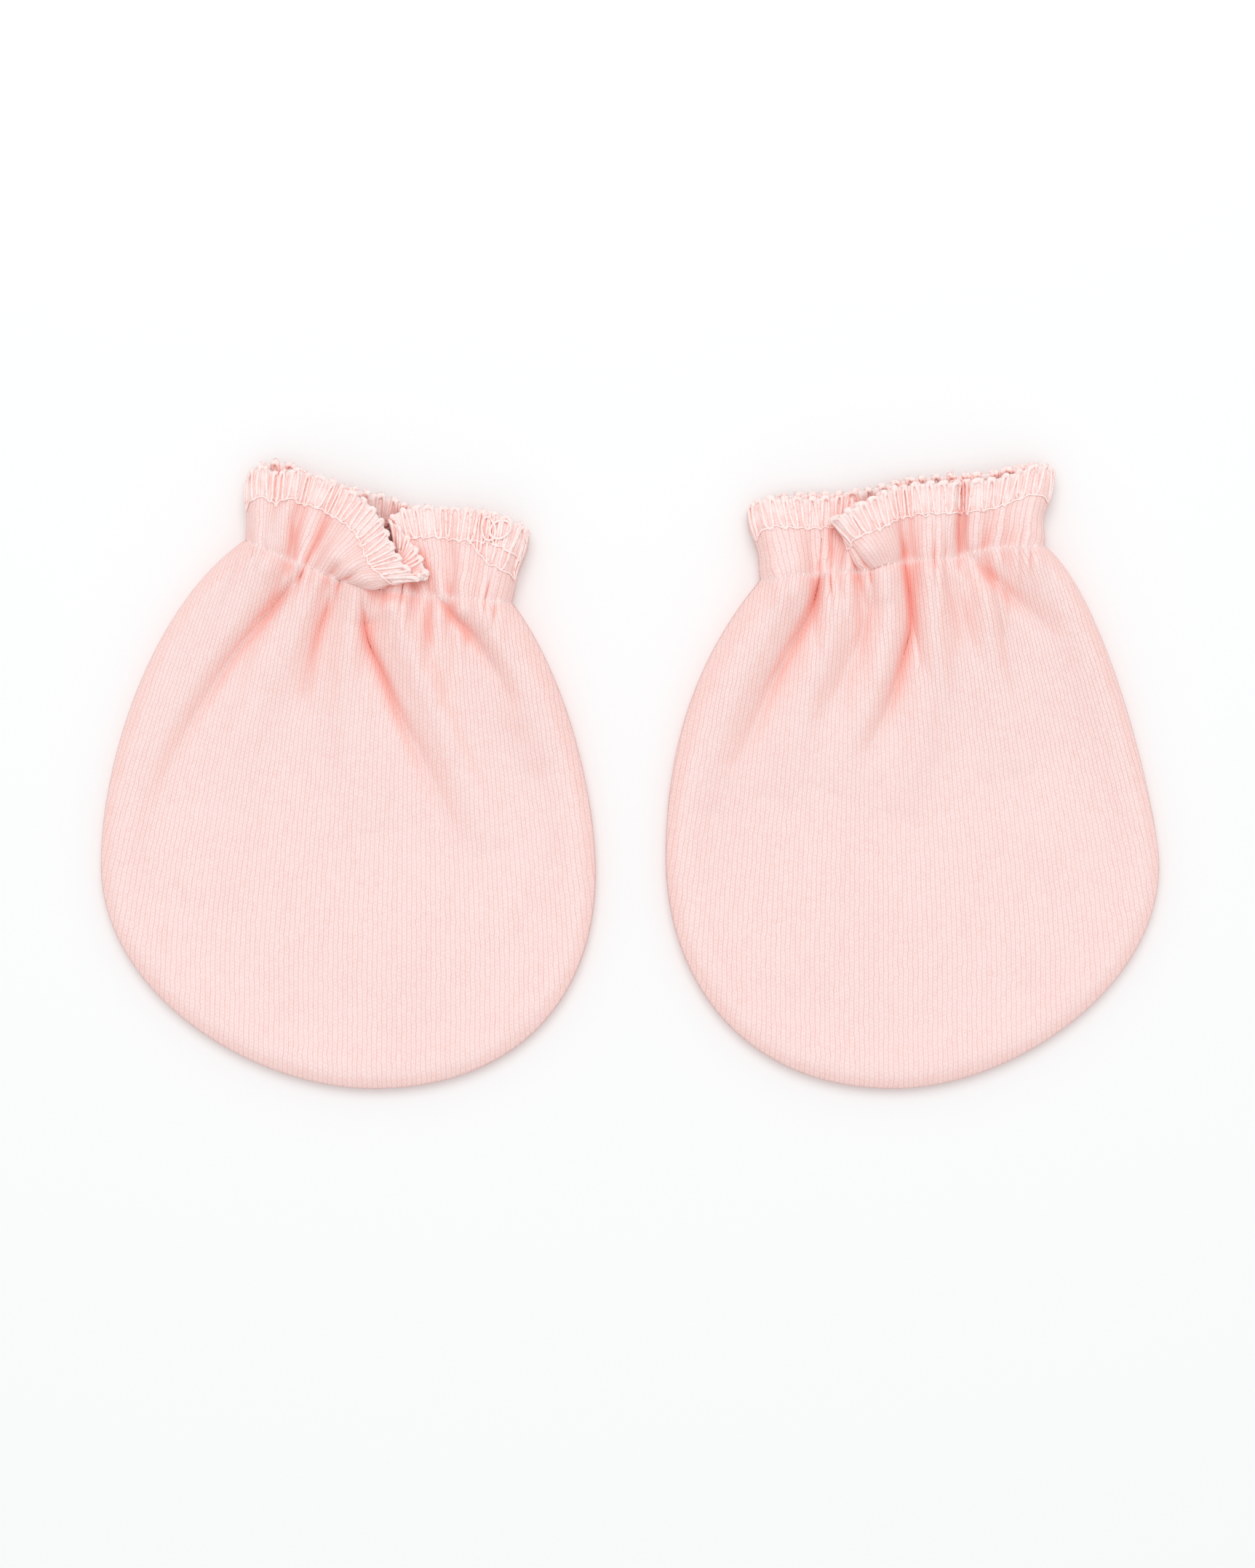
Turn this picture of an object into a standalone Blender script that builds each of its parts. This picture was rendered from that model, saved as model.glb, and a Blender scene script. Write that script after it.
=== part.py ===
"""A pair of newborn scratch mittens in fine cotton knit, laid flat side by side.

Each mitten is a pouch of two panels, front and back, sewn together round the
curve. A hidden elastic gathers it near the cuff, and a short ruffle stands above
the elastic. A panel and its half of the ruffle are cut in one, so a mitten is two
walls of cloth that lie on each other, palm side down.

Sizes and tables are in millimetres. X runs across a mitten from its own middle,
Y from its fingertip to its cuff, and Z up from the table that it lies on.
"""

from collections import namedtuple

import bmesh
import bpy
import numpy as np

# ---------------------------------------------------------------- driving sizes, mm
MM = 0.001
CLOTH = 1.0  # thickness of the interlock knit
MITTEN_LENGTH = 107.9  # from the fingertip to the top of the ruffle
PAIR_SPACING = 96.6  # between the middles of the two mittens
REST = CLOTH / 2  # the middle of a wall that lies on the table

SEAM_GAP = 0.3  # between the two panels along their seam
SEAM_HEIGHT = 2.1  # the seam round the pouch, above the table
PALM = REST + CLOTH + 0.4  # the front wall where it lies on the back one
RIM_HEIGHT = 3.3  # the front wall over the seam allowance
RIM_WIDTH = 7.0  # how far the seam allowance reaches inside

CUFF_LIFT = 2.7  # how far the gathers raise the cloth beside the elastic
CUFF_LIFT_REACH = 19.0  # and how far from the elastic that is felt
DENT_WIDTH = 1.6  # of the dent that the elastic's stitching pulls in

# how each panel lies: its height on the seam, how far in from the seam it has bent level, how
# far the ruffle bulges off a straight line, how deep the elastic dents it, and which way its
# outer face looks on the seam (1 out of the pouch, -1 into it)
Lie = namedtuple("Lie", "seam_height round bulge dent facing")
FRONT_LIE = Lie(SEAM_HEIGHT + SEAM_GAP / 2, 2.6, 0.7, 0.7, 1)
BACK_LIE = Lie(SEAM_HEIGHT - SEAM_GAP / 2, 2.0, 0.0, 0.0, -1)

# how finely each panel is divided; the rings of a pouch are shares of the way to its middle
Division = namedtuple("Division", "columns ruffle_rows seam_points rings")
FRONT_DIVISION = Division(46, 6, 50, (0.02, 0.05, 0.09, 0.15, 0.23, 0.33, 0.45, 0.60, 0.79))
BACK_DIVISION = Division(24, 4, 50, (0.02, 0.05, 0.10, 0.20, 0.35, 0.60))
POUCH_MIDDLE = (1.0, 44.0)

# points read along each stretch of a seam or fold, a whole seam, an elastic, a ruffle's end
CURVE_STEPS, SEAM_STEPS, ELASTIC_STEPS, END_STEPS = 60, 400, 200, 12
SHARE_STEP = 0.001  # the small steps over which slopes are taken, as a share of a ruffle
PLAN_STEP = 0.02  # and in millimetres

KNIT_ROUGHNESS = 0.95
FRONT_PINK = (0.96, 0.68, 0.66, 1.0)
BACK_PINK = (0.93, 0.64, 0.62, 1.0)

# ---------------------------------------------------------------- tables, mm
# the seam from the cuff, round the fingertip and back: curve knots, each with the heading
# there in degrees and the reach of its handles
Knot = namedtuple("Knot", "x y heading reach_in reach_out")
SEAM = {
    "left": (
        Knot(-17.4, 94.2, 213, 0.0, 18.3),
        Knot(-42.4, 38.2, -90, 19.2, 21.4),
        Knot(4.4, 0.0, 0, 21.5, 23.1),
        Knot(42.4, 37.0, 90, 22.9, 14.3),
        Knot(27.9, 83.5, 128, 14.4, 0.0),
    ),
    "right": (
        Knot(-26.0, 87.3, 230, 0.0, 18.8),
        Knot(-42.3, 39.5, -90, 17.1, 21.0),
        Knot(-3.3, 0.0, 0, 25.6, 20.3),
        Knot(42.3, 38.2, 90, 21.0, 8.4),
        Knot(22.4, 93.2, 145, 13.1, 0.0),
    ),
}

# the elastic's stitch line between the two ends of the seam
ELASTIC = {
    "left": ((-8.4, 89.8), (1.0, 86.6), (8.0, 85.1), (17.2, 84.1)),
    "right": ((-18.5, 87.9), (-8.0, 88.8), (-1.0, 90.3), (6.0, 90.7), (13.0, 92.3)),
}

# the ruffle's edge on the front panel: the share of the elastic that each point is
# gathered from, and where it lies. Where x turns back, the ruffle is folded on itself.
Wave = namedtuple("Wave", "share x y z")
FRONT_EDGE = {
    "left": (
        Wave(0.00, -16.7, 104.0, 4.0),
        Wave(0.05, -14.4, 103.9, 5.0),
        Wave(0.10, -11.6, 103.9, 5.2),
        Wave(0.16, -6.6, 104.8, 4.6),
        Wave(0.20, -3.2, 104.4, 5.0),
        Wave(0.25, 0.4, 102.5, 6.0),
        Wave(0.29, 3.9, 100.1, 7.0),
        Wave(0.33, 6.5, 96.5, 8.2),
        Wave(0.36, 8.0, 93.0, 9.2),
        Wave(0.39, 10.2, 89.4, 9.7),
        Wave(0.42, 12.3, 87.4, 9.2),
        Wave(0.45, 13.8, 87.8, 7.4),
        Wave(0.50, 13.1, 90.6, 5.8),
        Wave(0.56, 11.5, 94.0, 5.7),
        Wave(0.61, 9.7, 96.6, 5.1),
        Wave(0.65, 8.1, 98.3, 3.4),
        Wave(0.69, 9.9, 99.4, 2.4),
        Wave(0.73, 13.0, 99.7, 3.2),
        Wave(0.80, 18.9, 99.2, 4.1),
        Wave(0.88, 24.9, 98.6, 4.7),
        Wave(0.95, 28.8, 97.0, 4.6),
        Wave(1.00, 30.6, 95.4, 4.0),
    ),
    "right": (
        Wave(0.00, -27.9, 99.2, 4.0),
        Wave(0.05, -26.4, 100.8, 4.2),
        Wave(0.12, -22.0, 101.0, 4.5),
        Wave(0.19, -16.8, 101.2, 4.1),
        Wave(0.235, -13.6, 101.4, 3.2),
        Wave(0.265, -10.8, 101.4, 2.8),
        Wave(0.29, -9.4, 100.3, 4.0),
        Wave(0.33, -11.2, 98.7, 5.8),
        Wave(0.37, -13.3, 97.2, 6.6),
        Wave(0.40, -13.9, 97.5, 8.0),
        Wave(0.43, -11.2, 99.0, 8.8),
        Wave(0.46, -8.0, 100.6, 7.9),
        Wave(0.49, -4.8, 102.3, 6.5),
        Wave(0.515, -2.6, 103.2, 5.0),
        Wave(0.535, -1.6, 103.1, 3.7),
        Wave(0.555, -0.5, 103.4, 4.7),
        Wave(0.59, 2.5, 103.7, 5.5),
        Wave(0.65, 6.4, 103.7, 5.0),
        Wave(0.69, 8.2, 104.1, 3.2),
        Wave(0.72, 9.8, 104.0, 4.4),
        Wave(0.78, 13.0, 104.3, 5.3),
        Wave(0.87, 18.2, 105.8, 5.0),
        Wave(0.95, 22.2, 106.7, 4.4),
        Wave(1.00, 24.0, 105.7, 4.0),
    ),
}

# the same for the back panel, whose edge peeks out above the front's
BACK_EDGE = {
    "left": (
        Wave(0.00, -16.7, 104.0, 1.0),
        Wave(0.04, -15.9, 106.0, 1.0),
        Wave(0.12, -12.0, 107.4, 1.9),
        Wave(0.20, -8.2, 106.6, 1.9),
        Wave(0.32, -2.6, 103.6, 0.9),
        Wave(0.42, 2.6, 102.5, 1.3),
        Wave(0.52, 7.6, 101.3, 1.5),
        Wave(0.62, 12.0, 99.0, 0.9),
        Wave(0.75, 18.4, 98.4, 1.1),
        Wave(0.90, 26.4, 97.4, 0.9),
        Wave(1.00, 30.6, 95.4, 1.0),
    ),
    "right": (
        Wave(0.00, -27.9, 99.2, 1.0),
        Wave(0.08, -24.2, 101.4, 1.0),
        Wave(0.18, -19.4, 102.3, 1.4),
        Wave(0.30, -13.6, 102.9, 0.9),
        Wave(0.41, -8.4, 103.5, 1.4),
        Wave(0.54, -1.9, 104.7, 1.0),
        Wave(0.68, 5.2, 105.6, 1.2),
        Wave(0.80, 11.4, 106.2, 0.9),
        Wave(0.92, 19.4, 107.4, 1.4),
        Wave(0.97, 22.4, 107.2, 1.4),
        Wave(1.00, 24.0, 105.7, 1.0),
    ),
}

# the folds that run down from the gathers: a route, how deep it is pressed at the gathers
# (below zero for a ridge), and its half-width at the start and where it fades out
Fold = namedtuple("Fold", "route depth width fade_width")
FRONT_FOLDS = {
    "left": (
        Fold(((-8.0, 88.6), (-16.3, 79.4), (-23.5, 69.3), (-30.6, 59.3), (-32.8, 44.9)), 2.6, 1.8, 3.6),
        Fold(((-2.0, 87.5), (-2.6, 82.9), (-4.8, 77.2), (-8.0, 62.9)), 2.0, 1.5, 2.6),
        Fold(((3.4, 83.0), (3.6, 79.5), (5.6, 71.5), (11.7, 58.5), (18.1, 43.5)), 2.4, 1.7, 3.4),
        Fold(((8.2, 84.6), (7.6, 81.5), (7.0, 78.6)), 1.0, 1.1, 1.6),
        Fold(((13.6, 84.2), (13.4, 80.1), (17.4, 66.4), (26.8, 46.4), (32.1, 30.6)), 1.0, 1.6, 4.2),
        Fold(((17.0, 84.0), (19.9, 79.4), (23.9, 72.2), (29.0, 65.0)), 2.4, 1.6, 2.8),
        Fold(((23.6, 83.8), (25.4, 80.6), (27.6, 76.6)), 1.0, 1.2, 1.8),
        Fold(((0.0, 89.5), (3.0, 86.2), (3.4, 80.0)), -2.2, 3.4, 2.6),
        Fold(((11.8, 88.0), (11.6, 84.9), (11.2, 80.0)), 1.5, 2.8, 2.4),
    ),
    "right": (
        Fold(((-16.0, 87.6), (-17.5, 82.2), (-22.5, 73.6), (-27.9, 60.7)), 2.0, 1.5, 3.0),
        Fold(((-13.6, 90.0), (-13.2, 88.2), (-12.6, 83.0)), 1.4, 2.4, 2.0),
        Fold(((-8.0, 92.0), (-6.8, 89.0), (-6.0, 83.0)), -1.4, 2.4, 2.4),
        Fold(((-8.6, 87.8), (-7.6, 82.2), (-10.3, 74.3), (-17.5, 60.7)), 1.0, 1.4, 3.2),
        Fold(((-1.4, 89.8), (-0.9, 82.0), (-1.0, 73.6), (-6.0, 62.5), (-12.5, 52.1)), 2.2, 1.7, 3.2),
        Fold(((4.0, 90.0), (6.9, 82.2), (9.8, 74.3)), 0.8, 1.6, 2.6),
        Fold(((10.5, 91.2), (15.5, 85.8), (20.5, 82.2), (24.8, 77.9)), 1.6, 2.2, 3.0),
        Fold(((14.8, 82.0), (16.9, 69.3), (24.1, 52.8)), 0.7, 2.6, 4.0),
    ),
}
BACK_FOLDS = {
    "left": (
        Fold(((-11.0, 90.0), (-15.0, 82.0), (-19.0, 72.0)), 0.7, 1.8, 2.6),
        Fold(((5.6, 85.4), (8.0, 77.0), (12.0, 66.0)), 0.7, 1.8, 2.6),
        Fold(((20.4, 84.0), (22.4, 77.0), (26.0, 70.0)), 0.7, 1.8, 2.4),
    ),
    "right": (
        Fold(((-20.6, 87.8), (-24.0, 79.0), (-28.0, 70.0)), 0.7, 1.8, 2.4),
        Fold(((2.2, 90.6), (2.0, 82.0), (0.0, 71.0)), 0.7, 1.8, 2.6),
        Fold(((13.8, 92.4), (17.0, 84.0), (21.0, 74.0)), 0.7, 1.8, 2.6),
    ),
}


# ---------------------------------------------------------------- curves
def smooth_through(knots, values, at):
    """Read a smooth curve through the values at the knots."""
    knots, values = np.asarray(knots, float), np.asarray(values, float)
    slopes = np.gradient(values, knots, axis=0)
    i = np.clip(np.searchsorted(knots, at) - 1, 0, len(knots) - 2)
    span = (knots[i + 1] - knots[i])[:, None]
    t = (np.asarray(at) - knots[i])[:, None] / span
    return (
        (1 + 2 * t) * (1 - t) ** 2 * values[i]
        + t * (1 - t) ** 2 * span * slopes[i]
        + t**2 * (3 - 2 * t) * values[i + 1]
        + t**2 * (t - 1) * span * slopes[i + 1]
    )


def chord_lengths(points):
    """How far along its polyline each point lies."""
    steps = np.linalg.norm(np.diff(points, axis=0), axis=1)
    return np.concatenate([[0.0], np.cumsum(steps)])


def read_along(curve, shares):
    """The points at the given shares of a curve's length."""
    along = chord_lengths(curve)
    at = np.asarray(shares) * along[-1]
    return np.stack([np.interp(at, along, curve[:, 0]), np.interp(at, along, curve[:, 1])], axis=1)


def seam_curve(knots):
    """The seam in plan, drawn in by half the cloth so that the outer face lies on the outline."""
    pieces = []
    t = np.linspace(0.0, 1.0, CURVE_STEPS)[:, None]
    for a, b in zip(knots, knots[1:]):
        start, end = np.array([a.x, a.y]), np.array([b.x, b.y])
        out, into = np.radians([a.heading, b.heading])
        handle_a = start + a.reach_out * np.array([np.cos(out), np.sin(out)])
        handle_b = end - b.reach_in * np.array([np.cos(into), np.sin(into)])
        curve = (1 - t) ** 3 * start + 3 * (1 - t) ** 2 * t * handle_a
        curve = curve + 3 * (1 - t) * t**2 * handle_b + t**3 * end
        pieces.append(curve if not pieces else curve[1:])
    points = read_along(np.concatenate(pieces), np.linspace(0.0, 1.0, SEAM_STEPS))
    return points - outward(points) * CLOTH / 2


def outward(points):
    """The horizontal direction that points out of a seam which runs anticlockwise."""
    along = np.gradient(points, axis=0)
    across = np.stack([along[:, 1], -along[:, 0]], axis=1)
    return unit(across)


def unit(vectors):
    return vectors / np.linalg.norm(vectors, axis=-1, keepdims=True)


def distance_to(points, curve):
    """The plan distance from each point to a curve, and the share of the curve where that is."""
    apart = np.linalg.norm(points[..., None, :2] - curve[:, :2], axis=-1)
    return apart.min(axis=-1), apart.argmin(axis=-1) / (len(curve) - 1)


# ---------------------------------------------------------------- heights
def rounded(distance, reach):
    """A quarter round that rises from 0 at the seam to 1 at its reach."""
    return np.sqrt(1.0 - (1.0 - np.clip(distance / reach, 0.0, 1.0)) ** 2)


def bell(distance, width):
    return np.exp(-((distance / width) ** 2))


def folds_depth(folds, points):
    """How deep the folds press the cloth at each point."""
    depth = np.zeros(points.shape[:-1])
    for fold in folds:
        route = np.array(fold.route)
        along = chord_lengths(route)
        curve = smooth_through(along, route, np.linspace(0.0, along[-1], CURVE_STEPS))
        apart, share = distance_to(points, curve)
        width = fold.width + (fold.fade_width - fold.width) * share
        fade = np.cos(share * np.pi / 2)
        depth += fold.depth * fade * bell(apart, width)
    return depth


class Mitten:
    """The lines that the two panels of one mitten share."""

    def __init__(self, side):
        self.side = side
        self.seam = seam_curve(SEAM[side])
        elastic = np.array([self.seam[0], *ELASTIC[side], self.seam[-1]])
        along = chord_lengths(elastic)
        self.elastic = smooth_through(along, elastic, np.linspace(0.0, along[-1], ELASTIC_STEPS))
        first, last = FRONT_EDGE[side][0], FRONT_EDGE[side][-1]
        # the seam goes on up both ends of the ruffle
        up = np.linspace(0.0, 1.0, END_STEPS)[1:, None]
        left_end = self.seam[0] + up[::-1] * (np.array([first.x, first.y]) - self.seam[0])
        right_end = self.seam[-1] + up * (np.array([last.x, last.y]) - self.seam[-1])
        self.whole_seam = np.concatenate([left_end, self.seam, right_end])

    def table(self, points):
        """The lowest that the back wall's middle may lie."""
        return np.full(points.shape[:-1], REST)

    def back_height(self, points):
        """The back wall's middle: on the table, but for the folds at its gathers."""
        return REST + folds_depth(BACK_FOLDS[self.side], points)

    def on_back(self, points):
        """The lowest that the front wall's middle may lie, just clear of the back wall."""
        return self.back_height(points) + PALM - REST

    def front_height(self, points):
        """The front wall's middle: raised at the rim and the gathers, dented by the folds."""
        to_seam, _ = distance_to(points, self.whole_seam)
        to_elastic, _ = distance_to(points, self.elastic)
        height = PALM + (RIM_HEIGHT - PALM) * bell(to_seam - FRONT_LIE.round, RIM_WIDTH - FRONT_LIE.round)
        height = height + CUFF_LIFT * bell(to_elastic, CUFF_LIFT_REACH)
        return height - folds_depth(FRONT_FOLDS[self.side], points)


# ---------------------------------------------------------------- panels
class Panel:
    """One panel with its ruffle: a sheet of cloth, as points in the middle of its wall."""

    def __init__(self, mitten, edge, height, bed, lie):
        self.mitten = mitten
        self.edge = np.array(edge)
        self.height = height
        self.bed = bed  # the lowest that it may lie
        self.lie = lie

    def gathered(self, columns):
        """The share of the elastic under each column, and its place on the ruffle's edge."""
        along = chord_lengths(self.edge[:, 1:])
        evenly = (along / along[-1] + np.linspace(0.0, 1.0, len(along))) / 2
        at = np.interp(columns, evenly, along)
        read = smooth_through(along, self.edge, at)
        return np.clip(read[:, 0], 0.0, 1.0), read[:, 1:]

    def ruffle(self, columns, up):
        """Points from the elastic, up = 0, to the ruffle's edge, up = 1."""
        shares, edge = self.gathered(columns)
        elastic = read_along(self.mitten.elastic, shares)
        height = np.maximum(self.height(elastic), self.bed(elastic))
        start = np.concatenate([elastic, height[:, None]], axis=1)
        rise = up[:, None, None]
        grid = start + (edge - start) * rise
        to_elastic = np.linalg.norm(grid[..., :2] - elastic, axis=-1)
        swell = self.lie.bulge * np.sin(np.pi * rise[..., 0])
        dent = self.lie.dent * bell(to_elastic, DENT_WIDTH)
        grid[..., 2] = self.meet_at_seam(grid, grid[..., 2] + swell - dent)
        return grid

    def ruffle_normals(self, columns, up):
        after, before = np.minimum(columns + SHARE_STEP, 1.0), np.maximum(columns - SHARE_STEP, 0.0)
        above, below = np.minimum(up + SHARE_STEP, 1.0), np.maximum(up - SHARE_STEP, 0.0)
        across = self.ruffle(after, up) - self.ruffle(before, up)
        rise = self.ruffle(columns, above) - self.ruffle(columns, below)
        return unit(np.cross(across, rise))

    def lifted(self, plan):
        """Plan points of the pouch raised to the sheet's height."""
        to_elastic, _ = distance_to(plan, self.mitten.elastic)
        height = self.height(plan) - self.lie.dent * bell(to_elastic, DENT_WIDTH)
        height = self.meet_at_seam(plan, np.maximum(height, self.bed(plan)))
        return np.concatenate([plan, height[..., None]], axis=-1)

    def pouch_normals(self, plan):
        slopes = [
            (self.lifted(plan + step)[..., 2] - self.lifted(plan - step)[..., 2]) / (2 * PLAN_STEP)
            for step in (np.array([PLAN_STEP, 0.0]), np.array([0.0, PLAN_STEP]))
        ]
        return unit(np.stack([-slopes[0], -slopes[1], np.ones_like(slopes[0])], axis=-1))

    def meet_at_seam(self, points, height):
        """Bend the sheet's height to the seam's along the rim."""
        to_seam, _ = distance_to(points, self.mitten.whole_seam)
        bent = rounded(to_seam, self.lie.round)
        return self.lie.seam_height + (height - self.lie.seam_height) * bent

    def level_at_seam(self, points, normals):
        """Stand the wall upright where it lies on the seam, so that two rims meet face to face."""
        seam = self.mitten.whole_seam
        to_seam, share = distance_to(points, seam)
        nearest = np.rint(share * (len(seam) - 1)).astype(int)
        level = np.concatenate([outward(seam), np.zeros((len(seam), 1))], axis=1) * self.lie.facing
        on_seam = to_seam < CLOTH / 10
        normals[on_seam] = level[nearest[on_seam]]
        return normals

    def sheet(self, division):
        """All points, their normals, and the faces between them."""
        columns = np.linspace(0.0, 1.0, division.columns)
        up = np.linspace(1.0, 0.0, division.ruffle_rows + 1)
        ruffle = self.ruffle(columns, up)
        elastic = ruffle[-1, :, :2]
        # a loop along the elastic and back round the seam, drawn in ring by ring
        seam = read_along(self.mitten.seam, np.linspace(1.0, 0.0, division.seam_points + 2)[1:-1])
        loop = np.concatenate([elastic, seam])
        middle = np.array(POUCH_MIDDLE)
        rings = [loop + (middle - loop) * share for share in (0.0, *division.rings)]
        plan = np.concatenate([*rings, middle[None]])
        pouch, pouch_normals = self.lifted(plan), self.pouch_normals(plan)
        above = ruffle[:-1].reshape(-1, 3)
        normals = self.ruffle_normals(columns, up)[:-1].reshape(-1, 3)
        points = np.concatenate([above, pouch])
        normals = self.level_at_seam(points, np.concatenate([normals, pouch_normals]))
        return points, normals, sheet_faces(division, len(loop))


def sheet_faces(division, loop):
    """The ruffle's grid, the pouch's rings and the fan at their middle, as corner numbers."""
    faces = []
    for row in range(division.ruffle_rows):
        for column in range(division.columns - 1):
            corner = row * division.columns + column
            below = corner + division.columns
            faces.append((corner, below, below + 1, corner + 1))
    first = division.ruffle_rows * division.columns
    for ring in range(len(division.rings) + 1):
        start = first + ring * loop
        for here in range(loop):
            there = (here + 1) % loop
            inner = (start + loop + here, start + loop + there)
            if ring == len(division.rings):
                inner = (start + loop,)
            faces.append((start + there, start + here, *inner))
    return faces


def cloth_wall(name, points, normals, faces, colour):
    """The sheet thickened both ways into one closed wall."""
    mesh = bmesh.new()
    number = mesh.verts.layers.int.new("number")
    corners = []
    for index, place in enumerate(points + normals * CLOTH / 2):
        corner = mesh.verts.new(place * MM)
        corner[number] = index
        corners.append(corner)
    for face in faces:
        mesh.faces.new([corners[index] for index in face])
    under = bmesh.ops.extrude_face_region(mesh, geom=list(mesh.faces), use_keep_orig=True)
    lower = points - normals * CLOTH / 2
    for corner in under["geom"]:
        if isinstance(corner, bmesh.types.BMVert):
            corner.co = lower[corner[number]] * MM
    bmesh.ops.recalc_face_normals(mesh, faces=mesh.faces)
    data = bpy.data.meshes.new(name)
    mesh.to_mesh(data)
    mesh.free()
    data.shade_smooth()
    data.materials.append(colour)
    made = bpy.data.objects.new(name, data)
    bpy.context.scene.collection.objects.link(made)
    return made


def knit_colour(name, colour):
    material = bpy.data.materials.new(name)
    material.use_nodes = True
    shader = material.node_tree.nodes["Principled BSDF"]
    shader.inputs["Base Color"].default_value = colour
    shader.inputs["Roughness"].default_value = KNIT_ROUGHNESS
    shader.inputs["Metallic"].default_value = 0.0
    return material


def make_mitten(side, middle):
    """Both panels of one mitten, set where it lies."""
    mitten = Mitten(side)
    front = Panel(mitten, FRONT_EDGE[side], mitten.front_height, mitten.on_back, FRONT_LIE)
    back = Panel(mitten, BACK_EDGE[side], mitten.back_height, mitten.table, BACK_LIE)
    for panel, division, place, pink in (
        (front, FRONT_DIVISION, "front", FRONT_PINK),
        (back, BACK_DIVISION, "back", BACK_PINK),
    ):
        name = side + "_mitten_" + place
        wall = cloth_wall(name, *panel.sheet(division), knit_colour(name + "_knit", pink))
        wall.location = (middle * MM, -MITTEN_LENGTH / 2 * MM, 0.0)


def main():
    for old in list(bpy.data.objects):
        bpy.data.objects.remove(old, do_unlink=True)
    make_mitten("left", -PAIR_SPACING / 2)
    make_mitten("right", PAIR_SPACING / 2)


main()
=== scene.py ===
"""Looks of a pair of newborn scratch mittens in pale pink cotton interlock, laid flat.

Each mitten is two fine shells of cloth, front and back, that stand for the two solids of
the same names. A shell is one panel with its half of the ruffle, cut in one. On the shells
lies the sewing: the overlocked edges of the ruffles and the stitches of the hidden elastic.

Sizes and tables are in millimetres in each mitten's own frame: X across from its middle,
Y from its fingertip to its cuff, and Z up from the table.
"""

from collections import namedtuple

import bmesh
import bpy
import numpy as np
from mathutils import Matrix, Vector, noise


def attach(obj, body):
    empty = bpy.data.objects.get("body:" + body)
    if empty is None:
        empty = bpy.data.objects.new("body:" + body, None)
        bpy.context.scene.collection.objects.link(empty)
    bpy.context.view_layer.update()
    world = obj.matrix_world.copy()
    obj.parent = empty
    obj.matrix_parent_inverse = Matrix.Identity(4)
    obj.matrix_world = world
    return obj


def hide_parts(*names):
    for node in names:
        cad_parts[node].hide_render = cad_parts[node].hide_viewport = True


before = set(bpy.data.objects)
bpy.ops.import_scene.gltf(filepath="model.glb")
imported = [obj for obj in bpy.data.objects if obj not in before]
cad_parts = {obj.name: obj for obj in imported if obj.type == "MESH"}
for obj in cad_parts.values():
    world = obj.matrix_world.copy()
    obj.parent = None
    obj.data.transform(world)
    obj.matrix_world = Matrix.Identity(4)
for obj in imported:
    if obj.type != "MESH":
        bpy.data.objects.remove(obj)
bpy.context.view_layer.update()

# ---------------------------------------------------------------- driving sizes, mm
MM = 0.001
CLOTH = 1.0  # thickness of the interlock knit
MITTEN_LENGTH = 107.9
PAIR_SPACING = 96.6
REST = CLOTH / 2  # the middle of a wall that lies on the table

SEAM_GAP = 0.06  # the crease between the two panels along their seam
SEAM_HEIGHT = 2.1
PALM = REST + CLOTH + 0.4  # the front wall where it lies on the back one
RIM_HEIGHT = 3.3  # the front wall over the seam allowance
RIM_WIDTH = 7.0

CUFF_LIFT = 3.0  # how far the gathers raise the cloth beside the elastic
CUFF_LIFT_REACH = 27.0
DENT_WIDTH = 2.2  # of the dent that the elastic's stitching pulls in
SPRING_WIDTH = 1.8  # over which the ruffle turns up from the elastic

Lie = namedtuple("Lie", "seam_height round bulge dent facing")
FRONT_LIE = Lie(SEAM_HEIGHT + SEAM_GAP / 2, 2.6, 0.7, 0.3, 1)
BACK_LIE = Lie(SEAM_HEIGHT - SEAM_GAP / 2, 2.0, 0.0, 0.0, -1)

# how finely each shell is divided
Division = namedtuple("Division", "columns ruffle_rows seam_points rings")
FRONT_DIVISION = Division(250, 26, 200, 52)
BACK_DIVISION = Division(150, 16, 160, 30)
RING_CROWDING = 1.35  # how much closer the rings lie at the seam than at the middle
POUCH_MIDDLE = (1.0, 44.0)

CURVE_STEPS, SEAM_STEPS, ELASTIC_STEPS, END_STEPS = 60, 500, 900, 24
EDGE_STEPS = 1500  # in which the ruffle's edge is measured
SHARE_STEP = 0.001  # the small step over which slopes are taken, as a share of a ruffle
WELD = 0.002  # corners closer than this become one
BATCH = 8000  # points measured against a curve at one time

# the knit
RUFFLE_HEIGHT = 14.0
WALE = 0.84  # between two columns of stitches
COURSE = 0.66  # between two rows of stitches
CUFF_NARROWING = 0.36  # how far the wales draw together at the cuff
WALE_LEAN_FROM, WALE_LEAN_TO = 22.0, 92.0  # between these heights
UPRIGHT_WALE = {"left": 12.0, "right": -8.0}  # the wale that stands straight

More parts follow.
